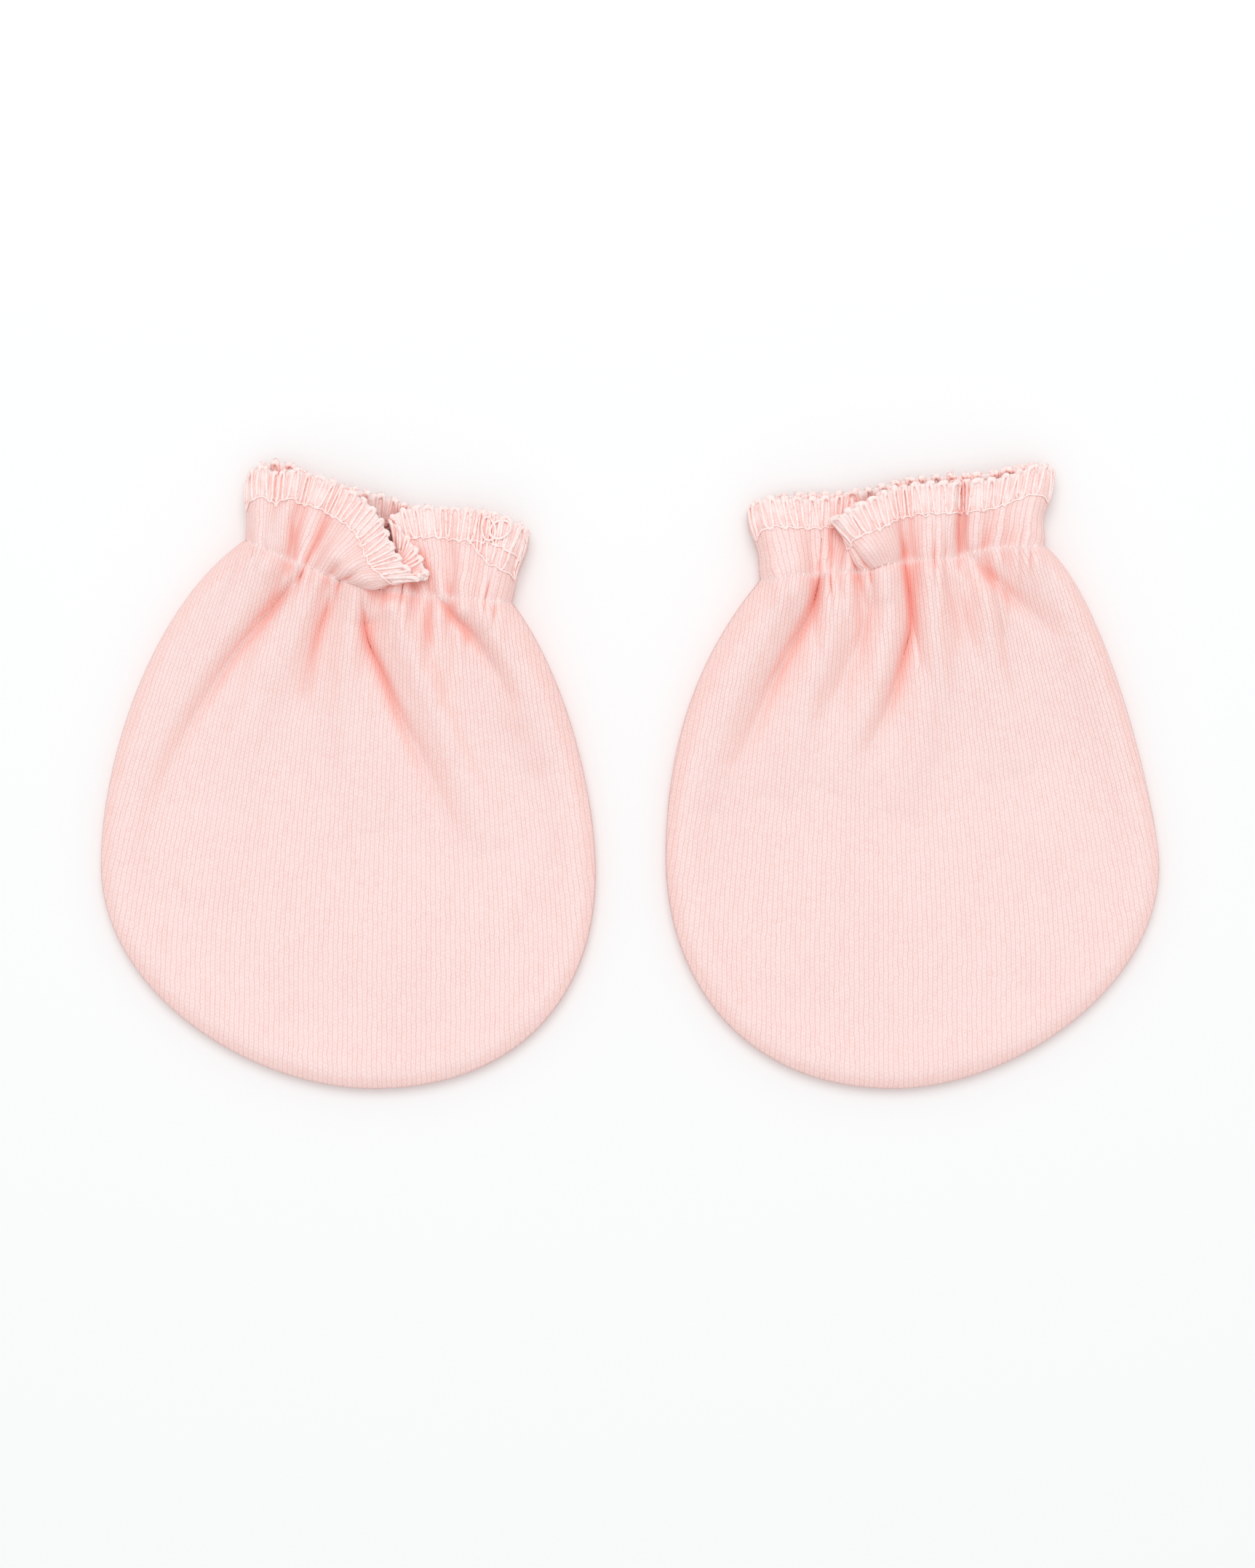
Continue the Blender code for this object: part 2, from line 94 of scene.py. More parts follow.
# the small gathers beside the elastic
PUCKERS = 16  # across one panel
PUCKER_HEIGHT = 2.2
PUCKER_REACH = 3.2
VALLEY_ROUNDING = 0.4
FLUTES = 10.5
FLUTE_HEIGHT = 0.7
FLUTE_REACH = 9.0
BACK_GATHERS = 0.4
UPRIGHT_REACH = 2.0  # the gathers rise straight up at the elastic, and square to the cloth past this
FOLD_SHARPNESS, FOLD_PRESS = 0.64, 0.72
FOLD_START = 5.0  # over which a fold opens to its full depth
FOLD_MOUTH = 0.3  # the share of its depth that it has where it starts
FOLD_FADING = 0.6  # the lower this is, the longer it stays deep before it fades out
RUFFLE_FOLD_START = 0.25  # the share of the ruffle's height over which a fold comes in
CREASE_BLUNTNESS, CREASE_POWER = 0.12, 0.75
GATHERS_START = 3.0  # from the side seam, over which the gathers rise
EASE = 0.3  # how softly the front wall comes down on the back one
END_REACH = 2.5
EndShape = namedtuple("EndShape", "band waist")  # how far a ruffle's end stands out and draws in
LEFT_END = {"left": EndShape(0.55, 0.0), "right": EndShape(0.35, 0.5)}
RIGHT_END = {"left": EndShape(0.35, 0.2), "right": EndShape(0.15, 0.9)}
LAY_WAVE, LAY_WAVE_SIZE = 0.16, 15.0  # how unevenly the cloth lies, and over what length
LAY_WAVE_START = 6.0  # from the elastic, over which that unevenness comes in
LAY_WAVE_AT = {"left": 40.0, "right": 90.0}  # where in the noise each mitten is read
BAND_AT, BAND_HEIGHT = 0.76, 0.17  # where a ruffle's end stands out, as shares of its height
WAIST_AT, WAIST_HEIGHT = 0.4, 0.22  # and where it draws in

# how uneven the gathers are: waves in their spacing, height and reach across a panel
Sway = namedtuple("Sway", "size rate phase")
PUCKER_SPACING = (Sway(2.3, 3.1, 0.7), Sway(1.1, 7.3, 2.0))
PUCKER_TALLNESS = (Sway(0.3, 5.2, 1.1),)
PUCKER_SPREAD = (Sway(0.45, 8.7, 0.4),)
FLUTE_SPACING = (Sway(1.9, 2.3, 1.9), Sway(0.9, 5.9, 0.0))
FLUTE_TALLNESS = (Sway(0.35, 3.7, 2.6),)

# the overlocked edge
EDGE_TRIM = 0.35  # the cloth ends this far inside the loops that wrap its edge
STITCH = 2.3  # from one overlock stitch to the next
OVERLOCK_DEPTH = 5.6  # from the ruffle's edge to the needle's line
THREAD = 0.25  # radius of the fluffy looper thread
NEEDLE_THREAD = 0.15
FIBRES = 3.0  # of fluff, on each millimetre of looper thread
FIBRE = 0.028
FIBRE_LENGTH = 1.0
FIBRE_TAPER = (1.0, 1.0, 0.9, 0.5)
# how unevenly the overlock's stitches stand, lean, draw together and reach down
STITCH_SHIFT, STITCH_LEAN, STITCH_SQUEEZE, STITCH_REACH = 0.09, 0.17, 0.16, 0.03
THREAD_UNEVENNESS = 0.14  # of its thickness
LEG_REACH = 0.4  # of a stitch to either side: past this it meets the next one
SCALLOP = 0.14  # of the needle's line between the loopers
EDGE_MARGIN = 0.5  # the sewing stops this far from a ruffle's ends
CLOSING_START, CLOSING_DEPTH = 0.865, 3.4  # the second run of overlock: its start, how much deeper
CLOSING_STITCH = 1.1 * STITCH
CLOSING_TURN = 2.2  # how quickly it turns down to its full depth
Ring = namedtuple("Ring", "x depth wide tall lean")
CROWDED_RINGS = (Ring(24.8, 3.1, 1.2, 2.0, 0.4), Ring(26.6, 2.7, 1.3, 1.7, -0.5))
CUFF_COURSE = 88.0 / COURSE  # the row of stitches at the elastic
ELASTIC_STITCHES = 46
ELASTIC_THREAD = 0.13
ELASTIC_STITCH = 0.45  # how far each of its stitches reaches to either side
ELASTIC_LIGHT_WIDTH = 0.7  # of the painted light along the elastic's line of stitches

# ---------------------------------------------------------------- tables, mm
Knot = namedtuple("Knot", "x y heading reach_in reach_out")
SEAM = {
    "left": (
        Knot(-17.4, 94.2, 213, 0.0, 18.3),
        Knot(-42.4, 38.2, -90, 19.2, 21.4),
        Knot(4.4, 0.0, 0, 21.5, 23.1),
        Knot(42.4, 37.0, 90, 22.9, 14.3),
        Knot(27.9, 83.5, 128, 14.4, 0.0),
    ),
    "right": (
        Knot(-26.0, 87.3, 230, 0.0, 18.8),
        Knot(-42.3, 39.5, -90, 17.1, 21.0),
        Knot(-3.3, 0.0, 0, 25.6, 20.3),
        Knot(42.3, 38.2, 90, 21.0, 8.4),
        Knot(22.4, 93.2, 145, 13.1, 0.0),
    ),
}

# the elastic's stitch line between the two ends of the seam
ELASTIC = {
    "left": ((-8.4, 89.8), (1.0, 86.6), (8.0, 85.1), (17.2, 84.1)),
    "right": ((-18.5, 87.9), (-8.0, 88.8), (-1.0, 90.3), (6.0, 90.7), (13.0, 92.3)),
}

# the ruffle's edge: the share of the elastic that each point is gathered from, and where it lies
Wave = namedtuple("Wave", "share x y z")
FRONT_EDGE = {
    "left": (
        Wave(0.00, -16.7, 104.0, 4.0),
        Wave(0.035, -16.0, 105.8, 4.6),
        Wave(0.060, -14.2, 106.3, 5.2),
        Wave(0.085, -12.8, 105.7, 4.8),
        Wave(0.105, -11.6, 104.8, 4.3),
        Wave(0.125, -10.4, 105.6, 4.8),
        Wave(0.145, -9.0, 106.1, 5.6),
        Wave(0.175, -6.6, 105.2, 4.2),
        Wave(0.20, -3.6, 104.5, 5.6),
        Wave(0.235, -0.8, 103.2, 4.7),
        Wave(0.26, 1.4, 101.9, 6.2),
        Wave(0.29, 3.9, 100.1, 7.0),
        Wave(0.33, 6.5, 96.5, 7.3),
        Wave(0.36, 8.0, 93.0, 7.9),
        Wave(0.39, 10.2, 89.4, 8.3),
        Wave(0.42, 12.3, 87.4, 8.2),
        Wave(0.45, 13.8, 87.8, 7.2),
        Wave(0.50, 12.9, 90.6, 6.3),
        Wave(0.56, 11.0, 93.8, 6.0),
        Wave(0.61, 8.8, 96.1, 5.9),
        Wave(0.65, 7.4, 97.7, 5.6),
        Wave(0.69, 9.2, 99.1, 4.7),
        Wave(0.73, 13.0, 99.7, 4.4),
        Wave(0.77, 16.2, 99.5, 3.7),
        Wave(0.81, 19.6, 99.2, 5.0),
        Wave(0.86, 23.2, 98.8, 4.2),
        Wave(0.91, 26.4, 98.1, 5.2),
        Wave(0.96, 29.1, 96.8, 4.6),
        Wave(1.00, 30.6, 95.4, 4.0),
    ),
    "right": (
        Wave(0.00, -27.9, 99.2, 4.0),
        Wave(0.05, -26.4, 100.8, 4.2),
        Wave(0.12, -22.0, 101.0, 4.5),
        Wave(0.19, -16.8, 101.2, 4.1),
        Wave(0.235, -13.6, 101.4, 3.2),
        Wave(0.265, -10.8, 101.4, 2.8),
        Wave(0.29, -9.4, 100.3, 4.0),
        Wave(0.33, -11.2, 98.7, 5.8),
        Wave(0.37, -13.3, 97.2, 6.6),
        Wave(0.40, -13.9, 97.5, 8.0),
        Wave(0.43, -11.2, 99.0, 8.8),
        Wave(0.46, -8.0, 100.6, 7.9),
        Wave(0.49, -4.8, 102.3, 6.5),
        Wave(0.515, -2.6, 103.2, 5.0),
        Wave(0.535, -1.6, 103.1, 4.3),
        Wave(0.555, -0.5, 103.4, 4.7),
        Wave(0.59, 2.5, 103.7, 5.5),
        Wave(0.640, 5.4, 103.7, 6.0),
        Wave(0.660, 6.8, 103.8, 6.3),
        Wave(0.675, 7.3, 103.9, 5.0),
        Wave(0.690, 6.9, 104.0, 4.0),
        Wave(0.705, 8.4, 104.1, 4.0),
        Wave(0.722, 9.4, 104.1, 4.8),
        Wave(0.740, 10.3, 104.1, 6.1),
        Wave(0.78, 13.0, 104.3, 5.8),
        Wave(0.87, 18.2, 105.8, 5.0),
        Wave(0.95, 22.2, 106.7, 4.4),
        Wave(1.00, 24.0, 105.7, 4.0),
    ),
}

BACK_EDGE = {
    "left": (
        Wave(0.00, -16.7, 104.0, 2.3),
        Wave(0.04, -15.9, 106.5, 2.6),
        Wave(0.12, -12.6, 107.6, 3.4),
        Wave(0.20, -8.6, 106.5, 3.5),
        Wave(0.245, -6.4, 104.8, 2.6),
        Wave(0.32, -2.6, 103.6, 3.2),
        Wave(0.42, 2.6, 102.5, 4.6),
        Wave(0.52, 7.6, 101.3, 3.6),
        Wave(0.62, 12.0, 99.0, 2.2),
        Wave(0.75, 18.4, 98.4, 2.4),
        Wave(0.90, 26.4, 97.4, 2.2),
        Wave(1.00, 30.6, 95.4, 2.3),
    ),
    "right": (
        Wave(0.00, -27.9, 99.2, 2.3),
        Wave(0.08, -24.2, 101.4, 2.3),
        Wave(0.18, -19.4, 102.0, 3.0),
        Wave(0.30, -13.6, 102.3, 2.8),
        Wave(0.41, -8.4, 102.7, 4.0),
        Wave(0.54, -1.9, 104.4, 3.3),
        Wave(0.68, 5.2, 105.2, 3.1),
        Wave(0.80, 11.4, 105.4, 4.0),
        Wave(0.92, 19.4, 106.8, 3.7),
        Wave(0.97, 22.4, 107.0, 3.0),
        Wave(1.00, 24.0, 105.7, 2.3),
    ),
}

# the folds that run down from the gathers: a route, how deep it is pressed at the gathers
# (below zero for a ridge), and its half-width at the start and where it fades out
Fold = namedtuple("Fold", "route depth width fade_width")
FRONT_FOLDS = {
    "left": (
        Fold(
            ((-8.2, 87.5), (-14.3, 80.7), (-19.9, 74.0), (-25.4, 65.4), (-29.7, 56.8), (-31.7, 42.0)),
            2.5, 1.3, 3.3,
        ),
        Fold(((-2.4, 85.8), (-3.4, 82.4), (-5.0, 78.2), (-6.4, 72.7), (-8.0, 62.9)), 2.1, 1.1, 2.2),
        Fold(
            ((2.5, 84.6), (3.2, 77.4), (5.9, 71.5), (8.9, 64.2), (12.6, 56.8), (16.3, 48.2), (20.0, 38.0)),
            2.7, 1.2, 2.3,
        ),
        Fold(((8.2, 84.6), (7.6, 81.5), (7.0, 78.6)), 1.0, 1.1, 1.6),
        Fold(((13.6, 84.2), (13.4, 80.1), (17.4, 66.4), (26.8, 46.4), (32.1, 30.6)), 1.0, 1.6, 4.2),
        Fold(((15.6, 83.9), (18.6, 80.6), (21.8, 77.4), (25.4, 72.0), (29.0, 65.0)), 2.4, 1.15, 2.6),
        Fold(((23.6, 83.8), (25.4, 80.6), (27.6, 76.6)), 1.0, 1.2, 1.8),
        Fold(((0.0, 89.5), (3.0, 86.2), (3.4, 80.0)), -2.2, 3.4, 2.6),
        Fold(((-14.0, 89.0), (-20.5, 78.0), (-27.5, 66.0), (-34.0, 50.0)), -1.5, 3.2, 4.6),
        Fold(((-5.4, 87.0), (-10.5, 77.5), (-15.5, 67.0), (-20.0, 48.0)), -1.6, 2.8, 4.6),
        Fold(((0.6, 84.0), (0.2, 75.0), (1.0, 64.0), (4.0, 44.0)), -1.4, 2.4, 5.4),
        Fold(((8.6, 82.0), (11.6, 73.0), (17.0, 62.0), (25.0, 41.0)), -1.9, 2.6, 4.6),
        Fold(((22.0, 82.0), (27.0, 73.0), (33.0, 55.0)), -1.4, 2.2, 4.2),
        Fold(((12.0, 90.0), (11.6, 84.9), (11.2, 80.0)), 1.6, 2.4, 2.0),
        Fold(((-5.8, 90.0), (-4.4, 94.0), (-2.6, 98.5)), 1.2, 1.3, 1.2),
        Fold(((-8.6, 91.0), (-9.2, 94.5), (-9.6, 99.0)), 1.0, 1.3, 1.2),
        Fold(((18.4, 87.5), (18.0, 91.0), (17.0, 95.5)), 1.0, 1.3, 1.2),
    ),
    "right": (
        Fold(
            ((-15.6, 89.6), (-16.2, 86.0), (-17.8, 81.4), (-20.0, 77.4), (-24.0, 69.8), (-30.5, 54.0)),
            2.6, 0.95, 2.9,
        ),
        Fold(((-14.0, 94.0), (-13.2, 88.6), (-12.6, 83.0)), 1.6, 2.0, 1.6),
        Fold(((-8.0, 92.0), (-6.8, 89.0), (-6.0, 83.0)), -1.4, 2.4, 2.4),
        Fold(((-8.6, 87.8), (-7.6, 82.2), (-10.3, 74.3), (-17.5, 60.7)), 1.0, 1.4, 3.2),
        Fold(
            ((-1.8, 92.0), (-1.4, 89.0), (-0.7, 84.0), (-0.4, 79.6),
             (-1.6, 74.6), (-3.6, 67.6), (-9.5, 55.0)),
            2.6, 0.85, 2.6,
        ),
        Fold(((4.0, 90.0), (6.9, 82.2), (9.8, 74.3)), 0.8, 1.6, 2.6),
        Fold(((0.2, 81.0), (1.4, 75.0), (3.7, 67.0), (5.0, 60.0)), 1.0, 1.6, 2.6),
        Fold(((8.0, 86.0), (9.4, 80.0), (13.5, 68.8), (17.0, 58.0)), 1.0, 2.0, 3.4),
        Fold(((7.4, 96.5), (7.6, 92.0), (7.8, 88.0)), 1.8, 1.2, 1.0),
        Fold(((9.5, 91.4), (14.5, 86.4), (19.5, 82.2), (24.8, 77.2)), 2.3, 1.7, 2.8),
        Fold(((14.8, 82.0), (16.9, 69.3), (24.1, 52.8)), 0.7, 2.6, 4.0),
        Fold(((-20.5, 86.0), (-26.0, 76.0), (-31.5, 64.0), (-35.5, 48.0)), -1.5, 2.8, 4.6),
        Fold(((-12.4, 87.0), (-13.6, 79.0), (-17.5, 69.0), (-23.5, 50.0)), -1.9, 2.3, 4.6),
        Fold(((-4.6, 88.0), (-4.4, 80.0), (-6.0, 71.0), (-14.0, 51.0)), -1.8, 2.0, 4.2),
        Fold(((3.4, 88.0), (3.6, 79.0), (2.8, 67.0), (-3.0, 47.0)), -1.8, 2.5, 4.6),
        Fold(((12.0, 84.0), (12.6, 74.0), (18.0, 54.0)), -1.5, 2.6, 4.4),
    ),
}
BACK_FOLDS = {
    "left": (
        Fold(((-11.0, 90.0), (-15.0, 82.0), (-19.0, 72.0)), 0.7, 1.8, 2.6),
        Fold(((5.6, 85.4), (8.0, 77.0), (12.0, 66.0)), 0.7, 1.8, 2.6),
        Fold(((20.4, 84.0), (22.4, 77.0), (26.0, 70.0)), 0.7, 1.8, 2.4),
    ),
    "right": (
        Fold(((-20.6, 87.8), (-24.0, 79.0), (-28.0, 70.0)), 0.7, 1.8, 2.4),
        Fold(((2.2, 90.6), (2.0, 82.0), (0.0, 71.0)), 0.7, 1.8, 2.6),
        Fold(((13.8, 92.4), (17.0, 84.0), (21.0, 74.0)), 0.7, 1.8, 2.6),
    ),
}


# ---------------------------------------------------------------- curves
def smooth_through(knots, values, at):
    """Read a smooth curve through the values at the knots."""
    knots, values = np.asarray(knots, float), np.asarray(values, float)
    slopes = np.gradient(values, knots, axis=0)
    i = np.clip(np.searchsorted(knots, at) - 1, 0, len(knots) - 2)
    span = (knots[i + 1] - knots[i])[:, None]
    t = (np.asarray(at) - knots[i])[:, None] / span
    return (
        (1 + 2 * t) * (1 - t) ** 2 * values[i]
        + t * (1 - t) ** 2 * span * slopes[i]
        + t**2 * (3 - 2 * t) * values[i + 1]
        + t**2 * (t - 1) * span * slopes[i + 1]
    )


def chord_lengths(points):
    """How far along its polyline each point lies."""
    steps = np.linalg.norm(np.diff(points, axis=0), axis=1)
    return np.concatenate([[0.0], np.cumsum(steps)])


def read_along(curve, shares):
    """The points at the given shares of a curve's length."""
    along = chord_lengths(curve)
    at = np.asarray(shares) * along[-1]
    return np.stack([np.interp(at, along, curve[:, 0]), np.interp(at, along, curve[:, 1])], axis=1)


def unit(vectors):
    return vectors / np.linalg.norm(vectors, axis=-1, keepdims=True)


def outward(points):
    """The horizontal direction that points out of a seam which runs anticlockwise."""
    along = np.gradient(points, axis=0)
    return unit(np.stack([along[:, 1], -along[:, 0]], axis=1))


def seam_curve(knots):
    """The seam in plan, drawn in by half the cloth so that the outer face lies on the outline."""
    pieces = []
    t = np.linspace(0.0, 1.0, CURVE_STEPS)[:, None]
    for a, b in zip(knots, knots[1:]):
        start, end = np.array([a.x, a.y]), np.array([b.x, b.y])
        out, into = np.radians([a.heading, b.heading])
        handle_a = start + a.reach_out * np.array([np.cos(out), np.sin(out)])
        handle_b = end - b.reach_in * np.array([np.cos(into), np.sin(into)])
        curve = (1 - t) ** 3 * start + 3 * (1 - t) ** 2 * t * handle_a
        curve = curve + 3 * (1 - t) * t**2 * handle_b + t**3 * end
        pieces.append(curve if not pieces else curve[1:])
    points = read_along(np.concatenate(pieces), np.linspace(0.0, 1.0, SEAM_STEPS))
    return points - outward(points) * CLOTH / 2


def distance_to(points, curve):
    """The plan distance from each point to a curve, and the share of the curve where that is."""
    flat = points.reshape(-1, points.shape[-1])[:, :2]
    knots = curve[:, :2]
    nearest = np.empty(len(flat), int)
    for low in range(0, len(flat), BATCH):
        part = flat[low : low + BATCH]
        nearest[low : low + BATCH] = ((knots**2).sum(axis=1) - 2 * part @ knots.T).argmin(axis=1)
    apart, share = np.full(len(flat), np.inf), np.zeros(len(flat))
    for first in (np.maximum(nearest - 1, 0), np.minimum(nearest, len(knots) - 2)):
        span = knots[first + 1] - knots[first]
        step = np.clip(((flat - knots[first]) * span).sum(axis=1) / (span**2).sum(axis=1), 0.0, 1.0)
        gap = np.linalg.norm(flat - knots[first] - step[:, None] * span, axis=1)
        share = np.where(gap < apart, (first + step) / (len(knots) - 1), share)
        apart = np.minimum(gap, apart)
    return apart.reshape(points.shape[:-1]), share.reshape(points.shape[:-1])


# ---------------------------------------------------------------- heights
def rounded(distance, reach):
    """A quarter round that rises from 0 at the seam to 1 at its reach."""
    return np.sqrt(1.0 - (1.0 - np.clip(distance / reach, 0.0, 1.0)) ** 2)


def bell(distance, width):
    return np.exp(-((distance / width) ** 2))


def crease(distance, width):
    """Like a bell, but sharper at its middle."""
    spread = ((distance / width) ** 2 + CREASE_BLUNTNESS) ** CREASE_POWER
    return np.exp(-spread + CREASE_BLUNTNESS**CREASE_POWER)


def folds_depth(folds, points):
    """How deep the folds press the cloth at each point."""
    depth = np.zeros(points.shape[:-1])
    for fold in folds:
        route = np.array(fold.route)
        along = chord_lengths(route)
        curve = smooth_through(along, route, np.linspace(0.0, along[-1], CURVE_STEPS))
        apart, share = distance_to(points, curve)
        width = fold.width + (fold.fade_width - fold.width) * share
        fading = np.cos(share * np.pi / 2) ** FOLD_FADING
        if fold.depth > 0:
            opened = np.clip(share * along[-1] / FOLD_START, 0.0, 1.0)
            pressed = fold.depth * (FOLD_MOUTH + (1.0 - FOLD_MOUTH) * opened)
            depth += pressed * fading * crease(apart, width * FOLD_SHARPNESS) * FOLD_PRESS
        else:
            depth += fold.depth * fading * bell(apart, width)
    return depth


def swayed(value, turn, sways):
    """The value, made uneven by waves across the panel."""
    for sway in sways:
        value = value + sway.size * np.sin(sway.rate * turn + sway.phase)
    return value


def puckers(share, distance):
    """The uneven gathers beside the elastic: round ridges with sharper valleys between."""
    turn = 2 * np.pi * share
    phase = swayed(PUCKERS * turn, turn, PUCKER_SPACING)
    tall = swayed(0.7, turn, PUCKER_TALLNESS)
    ridge = np.sqrt(np.cos(phase / 2) ** 2 + VALLEY_ROUNDING) - 0.5
    beside = 0.75 + 0.25 * (1.0 - bell(distance, 1.6))
    reach = PUCKER_REACH * swayed(1.0, turn, PUCKER_SPREAD)
    small = PUCKER_HEIGHT * tall * ridge * np.exp(-np.sqrt(distance**2 + 0.3) / reach)
    # the larger flutes run on up the ruffle and down the pouch
    phase = swayed(FLUTES * turn, turn, FLUTE_SPACING)
    tall = swayed(0.65, turn, FLUTE_TALLNESS)
    large = FLUTE_HEIGHT * tall * np.cos(phase) * np.exp(-distance / FLUTE_REACH)
    return (small + large) * beside


def softly_above(height, bed):
    """The height, eased up where it would sink into the bed."""
    return bed + EASE * np.logaddexp(0.0, (height - bed) / EASE)


def stand_out(shape, up):
    """How far a ruffle's end stands out at each share of its height."""
    return shape.band * bell(up - BAND_AT, BAND_HEIGHT) - shape.waist * bell(up - WAIST_AT, WAIST_HEIGHT)


class Mitten:
    """The lines that the two panels of one mitten share."""

    def __init__(self, side):
        self.side = side
        self.seam = seam_curve(SEAM[side])
        elastic = np.array([self.seam[0], *ELASTIC[side], self.seam[-1]])
        along = chord_lengths(elastic)
        curve = smooth_through(along, elastic, np.linspace(0.0, along[-1], ELASTIC_STEPS))
        self.elastic = read_along(curve, np.linspace(0.0, 1.0, ELASTIC_STEPS))
        first, last = FRONT_EDGE[side][0], FRONT_EDGE[side][-1]
        # the seam goes on up both ends of the ruffle
        up = np.linspace(0.0, 1.0, END_STEPS)[1:, None]
        left_end = self.seam[0] + up[::-1] * (np.array([first.x, first.y]) - self.seam[0])
        right_end = self.seam[-1] + up * (np.array([last.x, last.y]) - self.seam[-1])
        left_end[:, 0] -= stand_out(LEFT_END[side], up[::-1, 0])
        right_end[:, 0] += stand_out(RIGHT_END[side], up[:, 0])
        self.whole_seam = np.concatenate([left_end, self.seam, right_end])

    def table(self, points):
        """The lowest that the back wall's middle may lie."""
        return np.full(points.shape[:-1], REST)

    def back_height(self, points):
        """The back wall's middle: on the table, but for the folds at its gathers."""
        return REST + folds_depth(BACK_FOLDS[self.side], points)

    def on_back(self, points):
        """The lowest that the front wall's middle may lie, just clear of the back wall."""
        return self.back_height(points) + PALM - REST

    def front_height(self, points):
        """The front wall's middle: raised at the rim and the gathers, dented by the folds."""
        to_seam, _ = distance_to(points, self.whole_seam)
        to_elastic, _ = distance_to(points, self.elastic)
        height = PALM + (RIM_HEIGHT - PALM) * bell(to_seam - FRONT_LIE.round, RIM_WIDTH - FRONT_LIE.round)
        height = height + CUFF_LIFT * bell(to_elastic, CUFF_LIFT_REACH)
        return height - folds_depth(FRONT_FOLDS[self.side], points)


# ---------------------------------------------------------------- panels
class Panel:
    """One panel with its ruffle: a sheet of cloth, as points in the middle of its wall."""

    def __init__(self, mitten, edge, height, bed, lie, folds):
        self.mitten = mitten
        self.edge = np.array(edge)
        self.height = height
        self.bed = bed  # the lowest that it may lie
        self.lie = lie
        self.folds = folds
        self.edge_length = chord_lengths(self.edge[:, 1:])[-1]

    def gathered(self, columns):
        """The share of the elastic under each column, and its place on the ruffle's edge."""
        along = chord_lengths(self.edge[:, 1:])
        evenly = (along / along[-1] + np.linspace(0.0, 1.0, len(along))) / 2
        at = np.interp(columns, evenly, along)
        read = smooth_through(along, self.edge, at)
        return np.clip(read[:, 0], 0.0, 1.0), read[:, 1:]

    def dented(self, points, to_elastic):
        """The sheet's height, dented along the elastic and clear of what it lies on."""
        height = self.height(points) - self.lie.dent * bell(to_elastic, DENT_WIDTH)
        bed = self.bed(points)
        return softly_above(height, bed) if self.lie.facing > 0 else np.maximum(height, bed)

    def meet_at_seam(self, points):
        """Bend the sheet to the seam's height along the rim."""
        to_seam, _ = distance_to(points, self.mitten.whole_seam)
        bent = rounded(to_seam, self.lie.round)
        points[:, 2] = self.lie.seam_height + (points[:, 2] - self.lie.seam_height) * bent
        return points

    def gathers(self, points, share, distance):
        """How far the puckers raise the sheet: not at the seams, and less on the back."""
        to_seam, _ = distance_to(points, self.mitten.whole_seam)
        raised = puckers(share, distance) * np.clip(to_seam / GATHERS_START, 0.0, 1.0)
        # a deep fold stretches the small gathers out
        raised = raised / (1.0 + np.clip(folds_depth(self.folds, points), 0.0, 2.0))
        return raised if self.lie.facing > 0 else raised * BACK_GATHERS

    def ruffle_base(self, columns, up):
        """Points of the plain ruffle: up is 0 on the elastic and 1 on the ruffle's edge."""
        shares, edge = self.gathered(columns)
        elastic = read_along(self.mitten.elastic, shares)
        height = self.dented(elastic, np.zeros(len(elastic)))
        start = np.concatenate([elastic, height[:, None]], axis=1)
        points = start + (edge - start) * up[:, None]
        distance = np.linalg.norm(points - start, axis=-1)
        points[:, 2] -= (edge - start)[:, 2] * up * bell(distance, SPRING_WIDTH)
        from_ends = np.stack([columns, 1.0 - columns]) * self.edge_length
        pull = np.exp(-from_ends / END_REACH)
        points[:, 0] -= stand_out(LEFT_END[self.mitten.side], up) * pull[0]
        points[:, 0] += stand_out(RIGHT_END[self.mitten.side], up) * pull[1]
        swell = self.lie.bulge * np.sin(np.pi * np.clip(up, 0.0, 1.0))
        recover = self.lie.dent * (np.clip(1.0 - up, 0.0, 1.0) - bell(distance, DENT_WIDTH))
        pressed = folds_depth(self.folds, points) * np.clip(up / RUFFLE_FOLD_START, 0.0, 1.0)
        points[:, 2] += swell + recover - pressed
        return points, distance, shares

    def length(self, columns):
        """How long the ruffle is from the elastic to its edge."""
        return self.ruffle_base(columns, np.ones(len(columns)))[1]

    def ruffle(self, columns, up, lift=0.0):
        """Points of the ruffle with its gathers, lifted off the middle of the wall along its normal."""
        points, distance, shares = self.ruffle_base(columns, up)
        after, before = np.minimum(columns + SHARE_STEP, 1.0), np.maximum(columns - SHARE_STEP, 0.0)
        across = self.meet_at_seam(self.ruffle_base(after, up)[0])
        across = across - self.meet_at_seam(self.ruffle_base(before, up)[0])
        inside = np.clip(up, 2 * SHARE_STEP, 1.0 - 2 * SHARE_STEP)
        rise = self.meet_at_seam(self.ruffle_base(columns, inside + SHARE_STEP)[0])
        rise = rise - self.meet_at_seam(self.ruffle_base(columns, inside - SHARE_STEP)[0])
        normals = unit(np.cross(across, rise))
        turned = np.clip(distance / UPRIGHT_REACH, 0.0, 1.0)[:, None]
        direction = unit(normals * turned + np.array([0.0, 0.0, 1.0]) * (1.0 - turned))
        points = points + direction * self.gathers(points, shares, distance)[:, None]
        return self.meet_at_seam(points) + normals * np.reshape(lift, (-1, 1))

